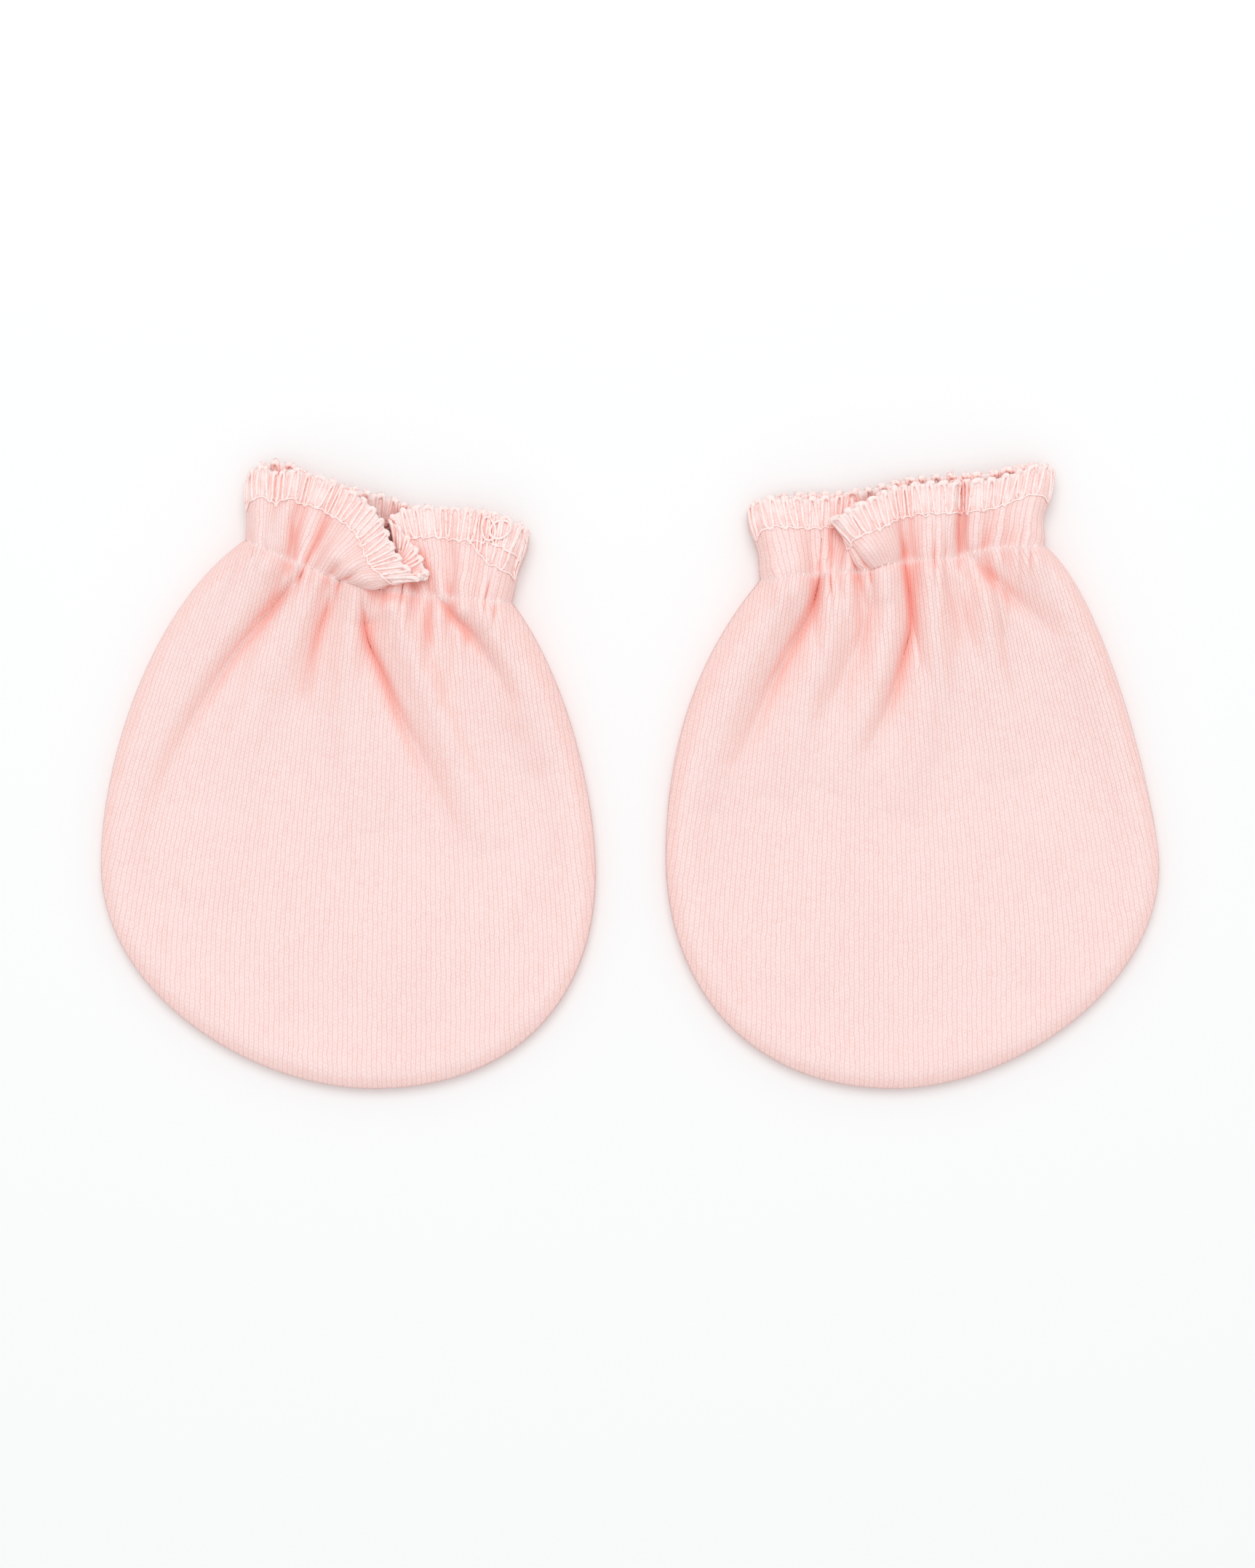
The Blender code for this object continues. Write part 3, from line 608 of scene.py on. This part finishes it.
    def pouch(self, plan):
        """Plan points of the pouch raised to the sheet's height, with its gathers."""
        to_elastic, share = distance_to(plan, self.mitten.elastic)
        height = self.dented(plan, to_elastic) + self.gathers(plan, share, to_elastic)
        if self.lie.facing > 0:
            height = height + self.uneven(plan) * np.clip(to_elastic / LAY_WAVE_START, 0.0, 1.0)
        return self.meet_at_seam(np.concatenate([plan, height[:, None]], axis=1))

    def uneven(self, plan):
        """How unevenly the cloth lies."""
        layer = np.full(len(plan), LAY_WAVE_AT[self.mitten.side])
        places = np.column_stack([plan / LAY_WAVE_SIZE, layer])
        return LAY_WAVE * np.array([noise.noise(Vector(place)) for place in places])

    def columns_along_edge(self, every):
        """The columns at even steps along the ruffle's edge."""
        fine = np.linspace(0.0, 1.0, EDGE_STEPS)
        along = chord_lengths(self.gathered(fine)[1])
        count = int(along[-1] / every)
        return np.interp(np.linspace(EDGE_MARGIN, along[-1] - EDGE_MARGIN, count), along, fine)


def knit_place(side, plan):
    """The wale and course of the knit at each plan point of a pouch."""
    rise = np.clip((plan[:, 1] - WALE_LEAN_FROM) / (WALE_LEAN_TO - WALE_LEAN_FROM), 0.0, 1.2)
    width = 1.0 - CUFF_NARROWING * rise**1.5
    across = (plan[:, 0] - UPRIGHT_WALE[side]) / width
    return np.column_stack([across / WALE, plan[:, 1] / COURSE])


def grid_places(mesh, x_segments, y_segments):
    """Add a grid to the mesh; its corners, and where each lies from 0 to 1 both ways."""
    made = bmesh.ops.create_grid(mesh, x_segments=x_segments, y_segments=y_segments, size=0.5)
    corners = made["verts"]
    places = np.array([corner.co[:2] for corner in corners]) + 0.5
    return corners, places


def set_places(corners, points):
    for corner, point in zip(corners, points):
        corner.co = point * MM


def cloth_shell(name, panel, division, middle):
    """The fine shell of one panel: its ruffle and its pouch, welded along the elastic."""
    mesh = bmesh.new()
    stitches = mesh.loops.layers.uv.new("knit")
    serged = mesh.verts.layers.float.new("serged")
    painted_light_at_elastic = mesh.verts.layers.float.new("painted_light_at_elastic")
    knit_at = {}

    corners, places = grid_places(mesh, division.columns, division.ruffle_rows)
    columns, length = places[:, 0], panel.length(places[:, 0])
    up = places[:, 1] * (1.0 - EDGE_TRIM / length)
    points = panel.ruffle(columns, up)
    ruffle_knit = np.column_stack(
        [columns * panel.edge_length / WALE, (MITTEN_LENGTH + up * RUFFLE_HEIGHT) / COURSE]
    )
    set_places(corners, points)
    cover = np.clip((OVERLOCK_DEPTH - (1.0 - up) * length) / OVERLOCK_DEPTH, 0.0, 1.0)
    for corner, place, covered, near in zip(corners, ruffle_knit, cover, bell(up * length, ELASTIC_LIGHT_WIDTH)):
        knit_at[corner] = place
        corner[serged] = covered
        corner[painted_light_at_elastic] = near

    around = division.columns + division.seam_points
    corners, places = grid_places(mesh, around, division.rings)
    turn, inward = places[:, 0] * around, places[:, 1]
    shares, _ = panel.gathered(np.clip(turn / division.columns, 0.0, 1.0))
    on_elastic = read_along(panel.mitten.elastic, shares)
    round_seam = np.clip((turn - division.columns) / division.seam_points, 0.0, 1.0)
    on_seam = read_along(panel.mitten.seam, 1.0 - round_seam)
    loop = np.where((turn <= division.columns)[:, None], on_elastic, on_seam)
    plan = loop + (np.array(POUCH_MIDDLE) - loop) * (inward**RING_CROWDING)[:, None]
    points = panel.pouch(plan)
    joined = (inward < 1e-6) & (turn < division.columns + 0.5)
    points[joined] = panel.ruffle(turn[joined] / division.columns, np.zeros(joined.sum()))
    set_places(corners, points)
    near = bell(distance_to(plan, panel.mitten.elastic)[0], ELASTIC_LIGHT_WIDTH)
    for corner, place, beside in zip(corners, knit_place(panel.mitten.side, plan), near):
        knit_at[corner] = place
        corner[painted_light_at_elastic] = beside

    for face in mesh.faces:
        for loop_corner in face.loops:
            loop_corner[stitches].uv = knit_at[loop_corner.vert]
        face.smooth = True
    bmesh.ops.remove_doubles(mesh, verts=mesh.verts, dist=WELD * MM)
    # the rings end in one small face instead of a crowd of slivers
    hub = max(mesh.verts, key=lambda corner: len(corner.link_edges))
    bmesh.ops.dissolve_verts(mesh, verts=[hub])
    bmesh.ops.recalc_face_normals(mesh, faces=mesh.faces)
    if sum(face.normal.z * face.calc_area() for face in mesh.faces) < 0:
        bmesh.ops.reverse_faces(mesh, faces=mesh.faces)
    bmesh.ops.translate(mesh, verts=mesh.verts, vec=middle)
    shell = as_object(name, mesh)
    wall = shell.modifiers.new("cloth", "SOLIDIFY")
    wall.thickness = CLOTH * MM
    wall.offset = 0.0
    return shell


def as_object(name, mesh):
    data = bpy.data.meshes.new(name)
    mesh.to_mesh(data)
    mesh.free()
    made = bpy.data.objects.new(name, data)
    bpy.context.scene.collection.objects.link(made)
    return made


# ---------------------------------------------------------------- threads
class Threads:
    """Sewing threads of one panel, gathered as one curve and made one mesh at the end."""

    roundness = 2

    def __init__(self, name, middle):
        self.curve = bpy.data.curves.new(name, "CURVE")
        self.curve.dimensions = "3D"
        self.curve.bevel_depth = MM
        self.curve.bevel_resolution = self.roundness
        self.curve.use_fill_caps = True
        self.middle = np.array(middle)

    def add(self, points, radii):
        spline = self.curve.splines.new("POLY")
        spline.points.add(len(points) - 1)
        places = np.column_stack([np.asarray(points) * MM + self.middle, np.ones(len(points))])
        spline.points.foreach_set("co", places.ravel())
        spline.points.foreach_set("radius", np.broadcast_to(radii, len(points)).astype(float))

    def finish(self, material):
        holder = bpy.data.objects.new(self.curve.name + "_path", self.curve)
        bpy.context.scene.collection.objects.link(holder)
        bpy.context.view_layer.update()
        evaluated = holder.evaluated_get(bpy.context.evaluated_depsgraph_get())
        data = bpy.data.meshes.new_from_object(evaluated)
        data.name = self.curve.name
        data.shade_smooth()
        data.materials.clear()
        data.materials.append(material)
        made = bpy.data.objects.new(self.curve.name, data)
        bpy.context.scene.collection.objects.link(made)
        bpy.data.objects.remove(holder)
        return made


class Fluff(Threads):
    """The short curled fibres that stand off the bulked looper thread."""

    roundness = 0

    def scatter(self, path, radii, rng):
        """Fibres from random places on a thread's path."""
        length = chord_lengths(path)[-1]
        count = int(length * FIBRES)
        start = rng.integers(1, len(path) - 1, count)
        for i in start:
            along = unit(path[i + 1] - path[i - 1] + 1e-6)
            out = unit(rng.normal(0.0, 1.0, 3) + np.array([0.0, 0.0, 0.3]))
            curl = unit(rng.normal(0.0, 1.0, 3))
            long = FIBRE_LENGTH * rng.uniform(0.4, 1.2)
            root = path[i] + along * rng.uniform(-0.15, 0.15) + out * radii[i] * 0.6
            bend = root + (out * 0.35 + along * rng.choice((-0.4, 0.4))) * long
            tip = bend + (along * rng.choice((-0.5, 0.5)) + curl * 0.35) * long
            between = (root + bend) / 2 + curl * 0.06
            self.add([root, between, bend, tip], np.array(FIBRE_TAPER) * FIBRE)


def on_ruffle(panel, columns, depths, lifts):
    """Points on the ruffle, depths below its edge and lifted off the middle of the wall."""
    return panel.ruffle(columns, 1.0 - depths / np.maximum(panel.length(columns), 1.0), lifts)


# one overlock stitch of the looper: how far along in stitches, how deep as a share of the
# seam's depth, how far off the middle of the wall as a share of the thread's way over it,
# and how thick the fluffy thread is there
Turn = namedtuple("Turn", "along depth off thick")
LOOPER = (
    Turn(-0.50, 0.045, 0.00, 2.0),
    Turn(-0.42, 0.055, 0.70, 2.0),
    Turn(-0.35, 0.090, 1.10, 1.7),
    Turn(-0.29, 0.180, 1.05, 1.2),
    Turn(-0.26, 0.420, 1.00, 1.0),
    Turn(-0.25, 0.660, 1.00, 1.0),
    Turn(-0.23, 0.840, 1.00, 1.0),
    Turn(-0.14, 0.960, 1.00, 1.0),
    Turn(0.00, 1.000, 1.00, 1.0),
    Turn(0.15, 0.960, 1.00, 1.0),
    Turn(0.24, 0.840, 1.00, 1.0),
    Turn(0.26, 0.660, 1.00, 1.0),
    Turn(0.27, 0.420, 1.00, 1.0),
    Turn(0.30, 0.180, 1.05, 1.2),
    Turn(0.36, 0.090, 1.10, 1.7),
    Turn(0.43, 0.055, 0.70, 2.0),
)


def overlock(threads, fluff, panel, rng, columns, seam_depth):
    """An overlocked edge over the given stitch columns: loopers on both faces and the needle's line."""
    count = len(columns)
    steps = np.arange(count)
    stitch = np.array(LOOPER)

    def columns_at(stitches):
        return np.interp(stitches, steps, columns)

    def depth_at(stitches):
        return np.interp(stitches, steps, np.broadcast_to(seam_depth, count))

    face = CLOTH / 2 + THREAD * 0.1
    for outer in (1.0, -1.0):
        # the stitches stand a little unevenly, and lean
        shift = rng.normal(0.0, STITCH_SHIFT, count)[:, None]
        lean = rng.normal(0.0, STITCH_LEAN, count)[:, None] * (stitch[:, 1] - 0.5)
        squeeze = 1.0 + rng.normal(0.0, STITCH_SQUEEZE, count)[:, None]
        legs = np.abs(stitch[:, 0]) < LEG_REACH
        along = steps[:, None] + stitch[:, 0] * squeeze + (shift + lean) * legs
        reach = 1.0 + rng.normal(0.0, STITCH_REACH, count)[:, None]
        depths = stitch[:, 1] * reach * depth_at(along)
        lifts = outer * stitch[:, 2] * face + np.zeros((count, 1))
        points = on_ruffle(panel, columns_at(along.ravel()), depths.ravel(), lifts.ravel())
        uneven = 1.0 + THREAD_UNEVENNESS * rng.normal(0.0, 1.0, len(points)).clip(-1.5, 1.5)
        knots = np.arange(len(points))
        halves = np.linspace(0.0, knots[-1], 2 * len(points) - 1)
        radii = np.interp(halves, knots, THREAD * uneven * np.tile(stitch[:, 3], count))
        path = smooth_through(knots, points, halves)
        threads.add(path, radii)
        fluff.scatter(path, radii, rng)
        # the needle's line, a little scalloped between the loopers
        fine = np.linspace(0.0, count - 1.0, count * 8)
        depths = depth_at(fine) - SCALLOP + SCALLOP * np.cos(2 * np.pi * fine)
        lifts = outer * (CLOTH / 2 + NEEDLE_THREAD * 0.9) + np.zeros(len(fine))
        threads.add(on_ruffle(panel, columns_at(fine), depths, lifts), NEEDLE_THREAD)


def double_overlock(threads, fluff, panel, rng):
    """A second, deeper run of overlock where the round of sewing closes over its own start."""
    columns = panel.columns_along_edge(CLOSING_STITCH)
    columns = columns[columns > CLOSING_START]
    rise = np.clip((columns - CLOSING_START) / (1.0 - CLOSING_START) * CLOSING_TURN, 0.0, 1.0)
    depths = OVERLOCK_DEPTH + CLOSING_DEPTH * rise * rise * (3 - 2 * rise)
    overlock(threads, fluff, panel, rng, columns, depths)
    # the thread is crowded into rings there
    turn = np.linspace(0.0, 2 * np.pi, 30)
    fine = np.linspace(CLOSING_START, 1.0, 200)
    edge_x = panel.gathered(fine)[1][:, 0]
    lifts = np.full(len(turn), CLOTH / 2 + 1.2 * THREAD)
    for ring in CROWDED_RINGS:
        columns = np.interp(ring.x + ring.wide * np.cos(turn) + ring.lean * np.sin(turn), edge_x, fine)
        path = on_ruffle(panel, columns, ring.depth + ring.tall * np.sin(turn), lifts)
        threads.add(path, THREAD)
        fluff.scatter(path, np.full(len(path), THREAD), rng)


def elastic_stitches(threads, panel, rng):
    """The short stitches that hold the elastic, half sunk in the gathers."""
    shares = (np.arange(ELASTIC_STITCHES) + 0.5) / ELASTIC_STITCHES
    shares = shares + rng.normal(0.0, 0.12, ELASTIC_STITCHES) / ELASTIC_STITCHES
    fine = np.linspace(0.0, 1.0, 2 * EDGE_STEPS)
    columns = np.interp(shares, panel.gathered(fine)[0], fine)
    on_line = panel.ruffle(columns, np.zeros(ELASTIC_STITCHES))
    below = read_along(panel.mitten.elastic, shares)
    below = panel.pouch(below - np.array([0.0, ELASTIC_STITCH]))
    above = on_ruffle(panel, columns, panel.length(columns) - ELASTIC_STITCH, 0.0)
    face = np.array([0.0, 0.0, CLOTH / 2 * panel.lie.facing])
    for i in range(ELASTIC_STITCHES):
        slant = np.array([rng.normal(0.0, 0.12), 0.0, 0.0])
        middle = on_line[i] + face * 1.12
        path = [
            below[i] + face * 0.6 - slant,
            (below[i] - slant + middle) / 2 + face * 0.55,
            middle,
            (above[i] + slant + middle) / 2 + face * 0.55,
            above[i] + face * 0.6 + slant,
        ]
        swelling = np.array([0.6, 1.0, 1.2, 1.0, 0.6])
        threads.add(path, swelling * ELASTIC_THREAD * rng.uniform(0.7, 1.15))


# ---------------------------------------------------------------- materials
def srgb(red, green, blue):
    """A colour as seen, 0 to 255, as the linear colour that the shader wants."""
    def linear(value):
        value = value / 255
        return value / 12.92 if value <= 0.04045 else ((value + 0.055) / 1.055) ** 2.4

    return (linear(red), linear(green), linear(blue), 1.0)


class Nodes:
    """Short ways to add and join shader nodes."""

    def __init__(self, name):
        self.material = bpy.data.materials.new(name)
        self.material.use_nodes = True
        self.tree = self.material.node_tree
        self.shader = self.tree.nodes["Principled BSDF"]

    def add(self, kind, **settings):
        node = self.tree.nodes.new(kind)
        for key, value in settings.items():
            setattr(node, key, value)
        return node

    def join(self, source, target):
        self.tree.links.new(source, target)

    def fill(self, socket, value):
        if isinstance(value, bpy.types.NodeSocket):
            self.join(value, socket)
        else:
            socket.default_value = value

    def math(self, operation, *values):
        node = self.add("ShaderNodeMath", operation=operation)
        for socket, value in zip(node.inputs, values):
            self.fill(socket, value)
        return node.outputs[0]

    def times(self, first, second):
        return self.math("MULTIPLY", first, second)

    def plus(self, first, second):
        return self.math("ADD", first, second)

    def noise(self, vector, scale, detail=2.0, roughness=0.5):
        """Uneven patches, about as many as the scale says to each unit of the vector."""
        node = self.add("ShaderNodeTexNoise")
        self.fill(node.inputs["Vector"], vector)
        node.inputs["Scale"].default_value = scale
        node.inputs["Detail"].default_value = detail
        node.inputs["Roughness"].default_value = roughness
        return node.outputs["Fac"]

    def mix(self, factor, first, second):
        node = self.add("ShaderNodeMix", data_type="RGBA")
        self.fill(node.inputs["Factor"], factor)
        self.fill(node.inputs[6], first)
        self.fill(node.inputs[7], second)
        return node.outputs[2]

    def span(self, value, low, high):
        """The value's place between low and high, held within 0 to 1."""
        node = self.add("ShaderNodeMapRange")
        node.interpolation_type = "SMOOTHSTEP"
        self.fill(node.inputs["Value"], value)
        node.inputs["From Min"].default_value = low
        node.inputs["From Max"].default_value = high
        return node.outputs["Result"]

    def openness(self, reach, **settings):
        """How open the surface is to what lies within reach, in millimetres."""
        node = self.add("ShaderNodeAmbientOcclusion", samples=8, **settings)
        node.inputs["Distance"].default_value = reach * MM
        return node.outputs["AO"]

    def raise_surface(self, height, strength, depth):
        bump = self.add("ShaderNodeBump")
        bump.inputs["Strength"].default_value = strength
        bump.inputs["Distance"].default_value = depth * MM
        self.join(height, bump.inputs["Height"])
        self.join(bump.outputs[0], self.shader.inputs["Normal"])

    def finish(self, roughness, gloss, **sockets):
        """How the surface takes the light, the same all over."""
        self.shader.inputs["Roughness"].default_value = roughness
        self.shader.inputs["Specular IOR Level"].default_value = gloss
        for key, value in sockets.items():
            self.shader.inputs[key.replace("_", " ")].default_value = value


STITCH_PINK = srgb(254, 229, 226)
# painted shade in the gaps between stitches, and the deeper tone of uneven stitches and wales
GAP_SHADE_AND_TONE_PINK = srgb(247, 193, 185)
# painted shade of the folds, hollows and slopes
PAINTED_FOLD_SHADE = srgb(253, 180, 167)
HAZE_PINK = srgb(255, 243, 241)
THREAD_WHITE = srgb(255, 241, 238)
THREAD_PINK = srgb(254, 229, 224)
# painted shade inside the cuff, on cloth and thread
SHADE_PINK = srgb(254, 180, 168)
SHEEN_PINK = srgb(255, 232, 228)

# in millimetres
HOLLOW_REACH = 4.0  # the reach of the cloth's own folds, whose hollows are painted with shade
INSIDE_REACH, THREAD_INSIDE_REACH = 12.0, 6.0  # what shades the cloth and thread inside the cuff lies within these reaches, and that shade is painted
STITCH_RELIEF, THREAD_RELIEF = 0.2, 0.08

# how strongly painted shade deepens the hollows, the slopes and the inside of the cuff
HOLLOW_START, HOLLOW_GAIN, HOLLOW_CURVE, HOLLOW_SHADE_STRENGTH = 0.97, 3.2, 1.5, 0.64
LEVEL, STEEP, SLOPE_SHADE_STRENGTH = 0.998, 0.9, 0.16  # the first two as the upward part of the normal
MOST_PAINTED_SHADE = 0.7
INSIDE_SHADE = 0.85


def interlock_knit():
    """Fine interlock: columns of small V stitches, each column half a stitch off the next."""
    n = Nodes("interlock_knit")
    place = n.add("ShaderNodeTexCoord").outputs["Object"]
    knit = n.add("ShaderNodeUVMap", uv_map="knit").outputs["UV"]
    parts = n.add("ShaderNodeSeparateXYZ")
    n.join(knit, parts.inputs[0])
    across, along = parts.outputs[0], parts.outputs[1]

    # the stitches aren't quite even
    across = n.plus(across, n.times(n.noise(place, 420.0, 2.0), 0.8))
    along = n.plus(along, n.times(n.noise(place, 330.0, 2.0), 1.3))
    along = n.plus(along, n.times(n.math("FLOOR", across), 0.5))
    from_middle = n.math("ABSOLUTE", n.math("SUBTRACT", n.math("FRACT", across), 0.5))
    along = n.plus(along, n.times(from_middle, 0.8))
    from_leg = n.times(n.math("SUBTRACT", from_middle, 0.24), 3.0)
    from_course = n.times(n.math("SUBTRACT", n.math("FRACT", along), 0.5), 1.6)
    gap = n.plus(n.math("POWER", from_leg, 2.0), n.math("POWER", from_course, 2.0))
    # the furrows between wales, deeper near the cuff where they draw together: a real dip in the bump, and
    # painted shade in the colour
    between_wales = n.span(from_middle, 0.3, 0.5)
    drawn_in = n.span(along, CUFF_COURSE - 50.0, CUFF_COURSE)
    furrow = n.times(between_wales, n.plus(n.times(drawn_in, 0.15), 0.35))
    gap = n.plus(n.times(n.span(gap, 0.1, 1.5), 0.75), furrow)

    # painted shade: the gaps between stitches and the furrows between wales are painted deeper pink, in
    # some stretches more than in others
    stretch = n.span(n.noise(place, 240.0, 3.0, 0.6), 0.3, 0.7)
    speck = n.span(n.noise(place, 1100.0, 2.0, 0.6), 0.25, 0.7)
    shown = n.times(n.plus(n.times(stretch, 0.5), 0.5), speck)
    colour = n.mix(n.times(gap, n.plus(shown, 0.2)), STITCH_PINK, GAP_SHADE_AND_TONE_PINK)
    # no two stitches are quite the same
    cell = n.add("ShaderNodeCombineXYZ")
    n.join(n.math("FLOOR", across), cell.inputs[0])
    n.join(n.math("FLOOR", along), cell.inputs[1])
    odd = n.add("ShaderNodeTexWhiteNoise", noise_dimensions="2D")
    n.join(cell.outputs[0], odd.inputs["Vector"])
    colour = n.mix(n.times(n.math("POWER", odd.outputs["Value"], 2.0), 0.12), colour, GAP_SHADE_AND_TONE_PINK)
    mottled = n.span(n.noise(place, 70.0, 3.0, 0.55), 0.35, 0.75)
    colour = n.mix(n.times(mottled, 0.08), colour, GAP_SHADE_AND_TONE_PINK)
    # some wales stand out along their length
    strip = n.add("ShaderNodeCombineXYZ")
    n.join(n.math("FLOOR", across), strip.inputs[0])
    n.join(n.times(along, 0.07), strip.inputs[1])
    standing = n.span(n.noise(strip.outputs[0], 1.7, 2.0), 0.4, 0.8)
    colour = n.mix(n.times(standing, 0.12), colour, GAP_SHADE_AND_TONE_PINK)

    # painted shade: the folds and turned edges are painted deeper pink in their hollows and on their
    # slopes, as light that has passed through the cloth would show them
    painted_hollow_shade = n.math("SUBTRACT", HOLLOW_START, n.openness(HOLLOW_REACH, only_local=True))
    painted_hollow_shade = n.times(painted_hollow_shade, HOLLOW_GAIN)
    painted_hollow_shade = n.math("MINIMUM", n.math("MAXIMUM", painted_hollow_shade, 0.0), 1.0)
    painted_hollow_shade = n.times(n.math("POWER", painted_hollow_shade, HOLLOW_CURVE), HOLLOW_SHADE_STRENGTH)
    # painted light along the elastic: its hollows get less painted shade there
    painted_light_at_elastic = n.add("ShaderNodeAttribute", attribute_name="painted_light_at_elastic").outputs["Fac"]
    painted_hollow_shade = n.times(painted_hollow_shade, n.math("SUBTRACT", 1.0, n.times(painted_light_at_elastic, 0.8)))
    facing = n.add("ShaderNodeSeparateXYZ")
    n.join(n.add("ShaderNodeNewGeometry").outputs["Normal"], facing.inputs[0])
    # painted shade on slopes, growing as the surface turns from level
    slope_shade = n.span(n.math("ABSOLUTE", facing.outputs[2]), LEVEL, STEEP)
    # the painted shade of hollows and slopes together, held below its most
    deep = n.math("MINIMUM", n.plus(painted_hollow_shade, n.times(slope_shade, SLOPE_SHADE_STRENGTH)), MOST_PAINTED_SHADE)
    colour = n.mix(deep, colour, PAINTED_FOLD_SHADE)
    # painted shade inside the cuff, where the other shells and threads shut out the light
    inside = n.span(n.openness(INSIDE_REACH), 0.5, 0.12)
    colour = n.mix(n.times(inside, INSIDE_SHADE), colour, SHADE_PINK)
    # painted light: the cloth along the elastic is painted lighter, over the crease's shade
    colour = n.mix(n.times(painted_light_at_elastic, 0.5), colour, STITCH_PINK)
    # fluff from the overlock lies over the cloth's edge in patches
    serged = n.add("ShaderNodeAttribute", attribute_name="serged").outputs["Fac"]
    fluff = n.times(n.span(n.noise(place, 260.0, 2.0), 0.42, 0.62), n.span(serged, 0.0, 0.15))
    fluff = n.math("MAXIMUM", n.times(fluff, 0.6), n.span(serged, 0.68, 0.97))
    colour = n.mix(fluff, colour, HAZE_PINK)
    n.join(colour, n.shader.inputs["Base Color"])

    nap = n.noise(place, 2600.0, 3.0, 0.7)
    n.raise_surface(n.math("SUBTRACT", n.times(nap, 0.4), gap), 0.5, STITCH_RELIEF)
    n.finish(0.92, 0.18, Sheen_Weight=0.2, Sheen_Roughness=0.45, Sheen_Tint=SHEEN_PINK)
    return n.material


def fluffy_thread():
    """Soft bulked overlock thread, nearly white."""
    n = Nodes("fluffy_thread")
    object_place = n.add("ShaderNodeTexCoord").outputs["Object"]
    fluff = n.noise(object_place, 2200.0, 3.0, 0.65)
    colour = n.mix(n.span(fluff, 0.35, 0.7), THREAD_WHITE, THREAD_PINK)
    # painted shade: the thread is painted the cloth's pink where it lies shaded inside the cuff
    inside = n.span(n.openness(THREAD_INSIDE_REACH), 0.75, 0.25)
    colour = n.mix(n.times(inside, INSIDE_SHADE), colour, SHADE_PINK)
    n.join(colour, n.shader.inputs["Base Color"])
    n.raise_surface(fluff, 0.4, THREAD_RELIEF)
    n.finish(0.9, 0.15, Sheen_Weight=0.3, Sheen_Roughness=0.5)
    return n.material


# ---------------------------------------------------------------- the mittens
KNIT = interlock_knit()
EDGE_THREAD = fluffy_thread()

SEEDS = {"left": 7, "right": 11}  # for the unevenness of each mitten's sewing


def make_mitten(side, across):
    """The two shells of one mitten and the sewing on them."""
    middle = Vector((across * MM, -MITTEN_LENGTH / 2 * MM, 0.0))
    mitten = Mitten(side)
    front_folds, back_folds = FRONT_FOLDS[side], BACK_FOLDS[side]
    front = Panel(mitten, FRONT_EDGE[side], mitten.front_height, mitten.on_back, FRONT_LIE, front_folds)
    back = Panel(mitten, BACK_EDGE[side], mitten.back_height, mitten.table, BACK_LIE, back_folds)
    rng = np.random.default_rng(SEEDS[side])
    for panel, division, place, bed in (
        (front, FRONT_DIVISION, "front", side + "_mitten_back"),
        (back, BACK_DIVISION, "back", "floor"),
    ):
        node = side + "_mitten_" + place
        shell = cloth_shell(side + "_" + place + "_knit", panel, division, middle)
        shell.data.materials.append(KNIT)
        threads = Threads(side + "_" + place + "_sewing", middle)
        fluff = Fluff(side + "_" + place + "_fluff", middle)
        overlock(threads, fluff, panel, rng, panel.columns_along_edge(STITCH), OVERLOCK_DEPTH)
        if place == "front":
            elastic_stitches(threads, panel, rng)
            if side == "left":
                double_overlock(threads, fluff, panel, rng)
        sewing = threads.finish(EDGE_THREAD)
        haze = fluff.finish(EDGE_THREAD)
        for piece in (shell, sewing, haze):
            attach(piece, "root")
        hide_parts(node)


# ---------------------------------------------------------------- room
VIEW_MIDDLE = (-0.5, -1.7)  # the point under the camera
VIEW_HEIGHT = 269.5  # how much of the table the picture takes in, from top to bottom
LENS, SENSOR = 85.0, 36.0
FLOOR_WHITE = (0.938, 0.95, 0.95, 1.0)
FLOOR_HALF = 1.5  # metres from its middle to its edge
FLOOR_DROP = 0.05  # millimetres below the height that the mittens rest at
KEY_PLACE, KEY_SIZE, KEY_POWER = (-0.03, 0.5, 1.1), 0.9, 5.1  # metres and watts
WORLD_STRENGTH = 0.76


def make_floor():
    mesh = bmesh.new()
    bmesh.ops.create_grid(mesh, x_segments=1, y_segments=1, size=FLOOR_HALF)
    bmesh.ops.translate(mesh, verts=mesh.verts, vec=(0.0, 0.0, -FLOOR_DROP * MM))
    floor = as_object("floor", mesh)
    n = Nodes("white_table")
    n.shader.inputs["Base Color"].default_value = FLOOR_WHITE
    n.finish(0.9, 0.1)
    floor.data.materials.append(n.material)


def make_light(name, place, size, power):
    data = bpy.data.lights.new(name, "AREA")
    data.shape = "DISK"
    data.size = size
    data.energy = power
    light = bpy.data.objects.new(name, data)
    light.location = place
    light.rotation_euler = (-Vector(place)).to_track_quat("-Z", "Y").to_euler()
    bpy.context.scene.collection.objects.link(light)


def make_camera():
    data = bpy.data.cameras.new("camera")
    data.lens = LENS
    data.sensor_width = SENSOR
    camera = bpy.data.objects.new("camera", data)
    distance = VIEW_HEIGHT * LENS / SENSOR
    camera.location = (VIEW_MIDDLE[0] * MM, VIEW_MIDDLE[1] * MM, distance * MM)
    bpy.context.scene.collection.objects.link(camera)
    bpy.context.scene.camera = camera


def make_world(strength):
    world = bpy.data.worlds.new("soft_white")
    world.use_nodes = True
    background = world.node_tree.nodes["Background"]
    background.inputs["Color"].default_value = (1.0, 1.0, 1.0, 1.0)
    background.inputs["Strength"].default_value = strength
    bpy.context.scene.world = world
    bpy.context.scene.view_settings.view_transform = "Standard"


make_mitten("left", -PAIR_SPACING / 2)
make_mitten("right", PAIR_SPACING / 2)
make_floor()
make_world(WORLD_STRENGTH)
make_light("key", KEY_PLACE, KEY_SIZE, KEY_POWER)
make_camera()
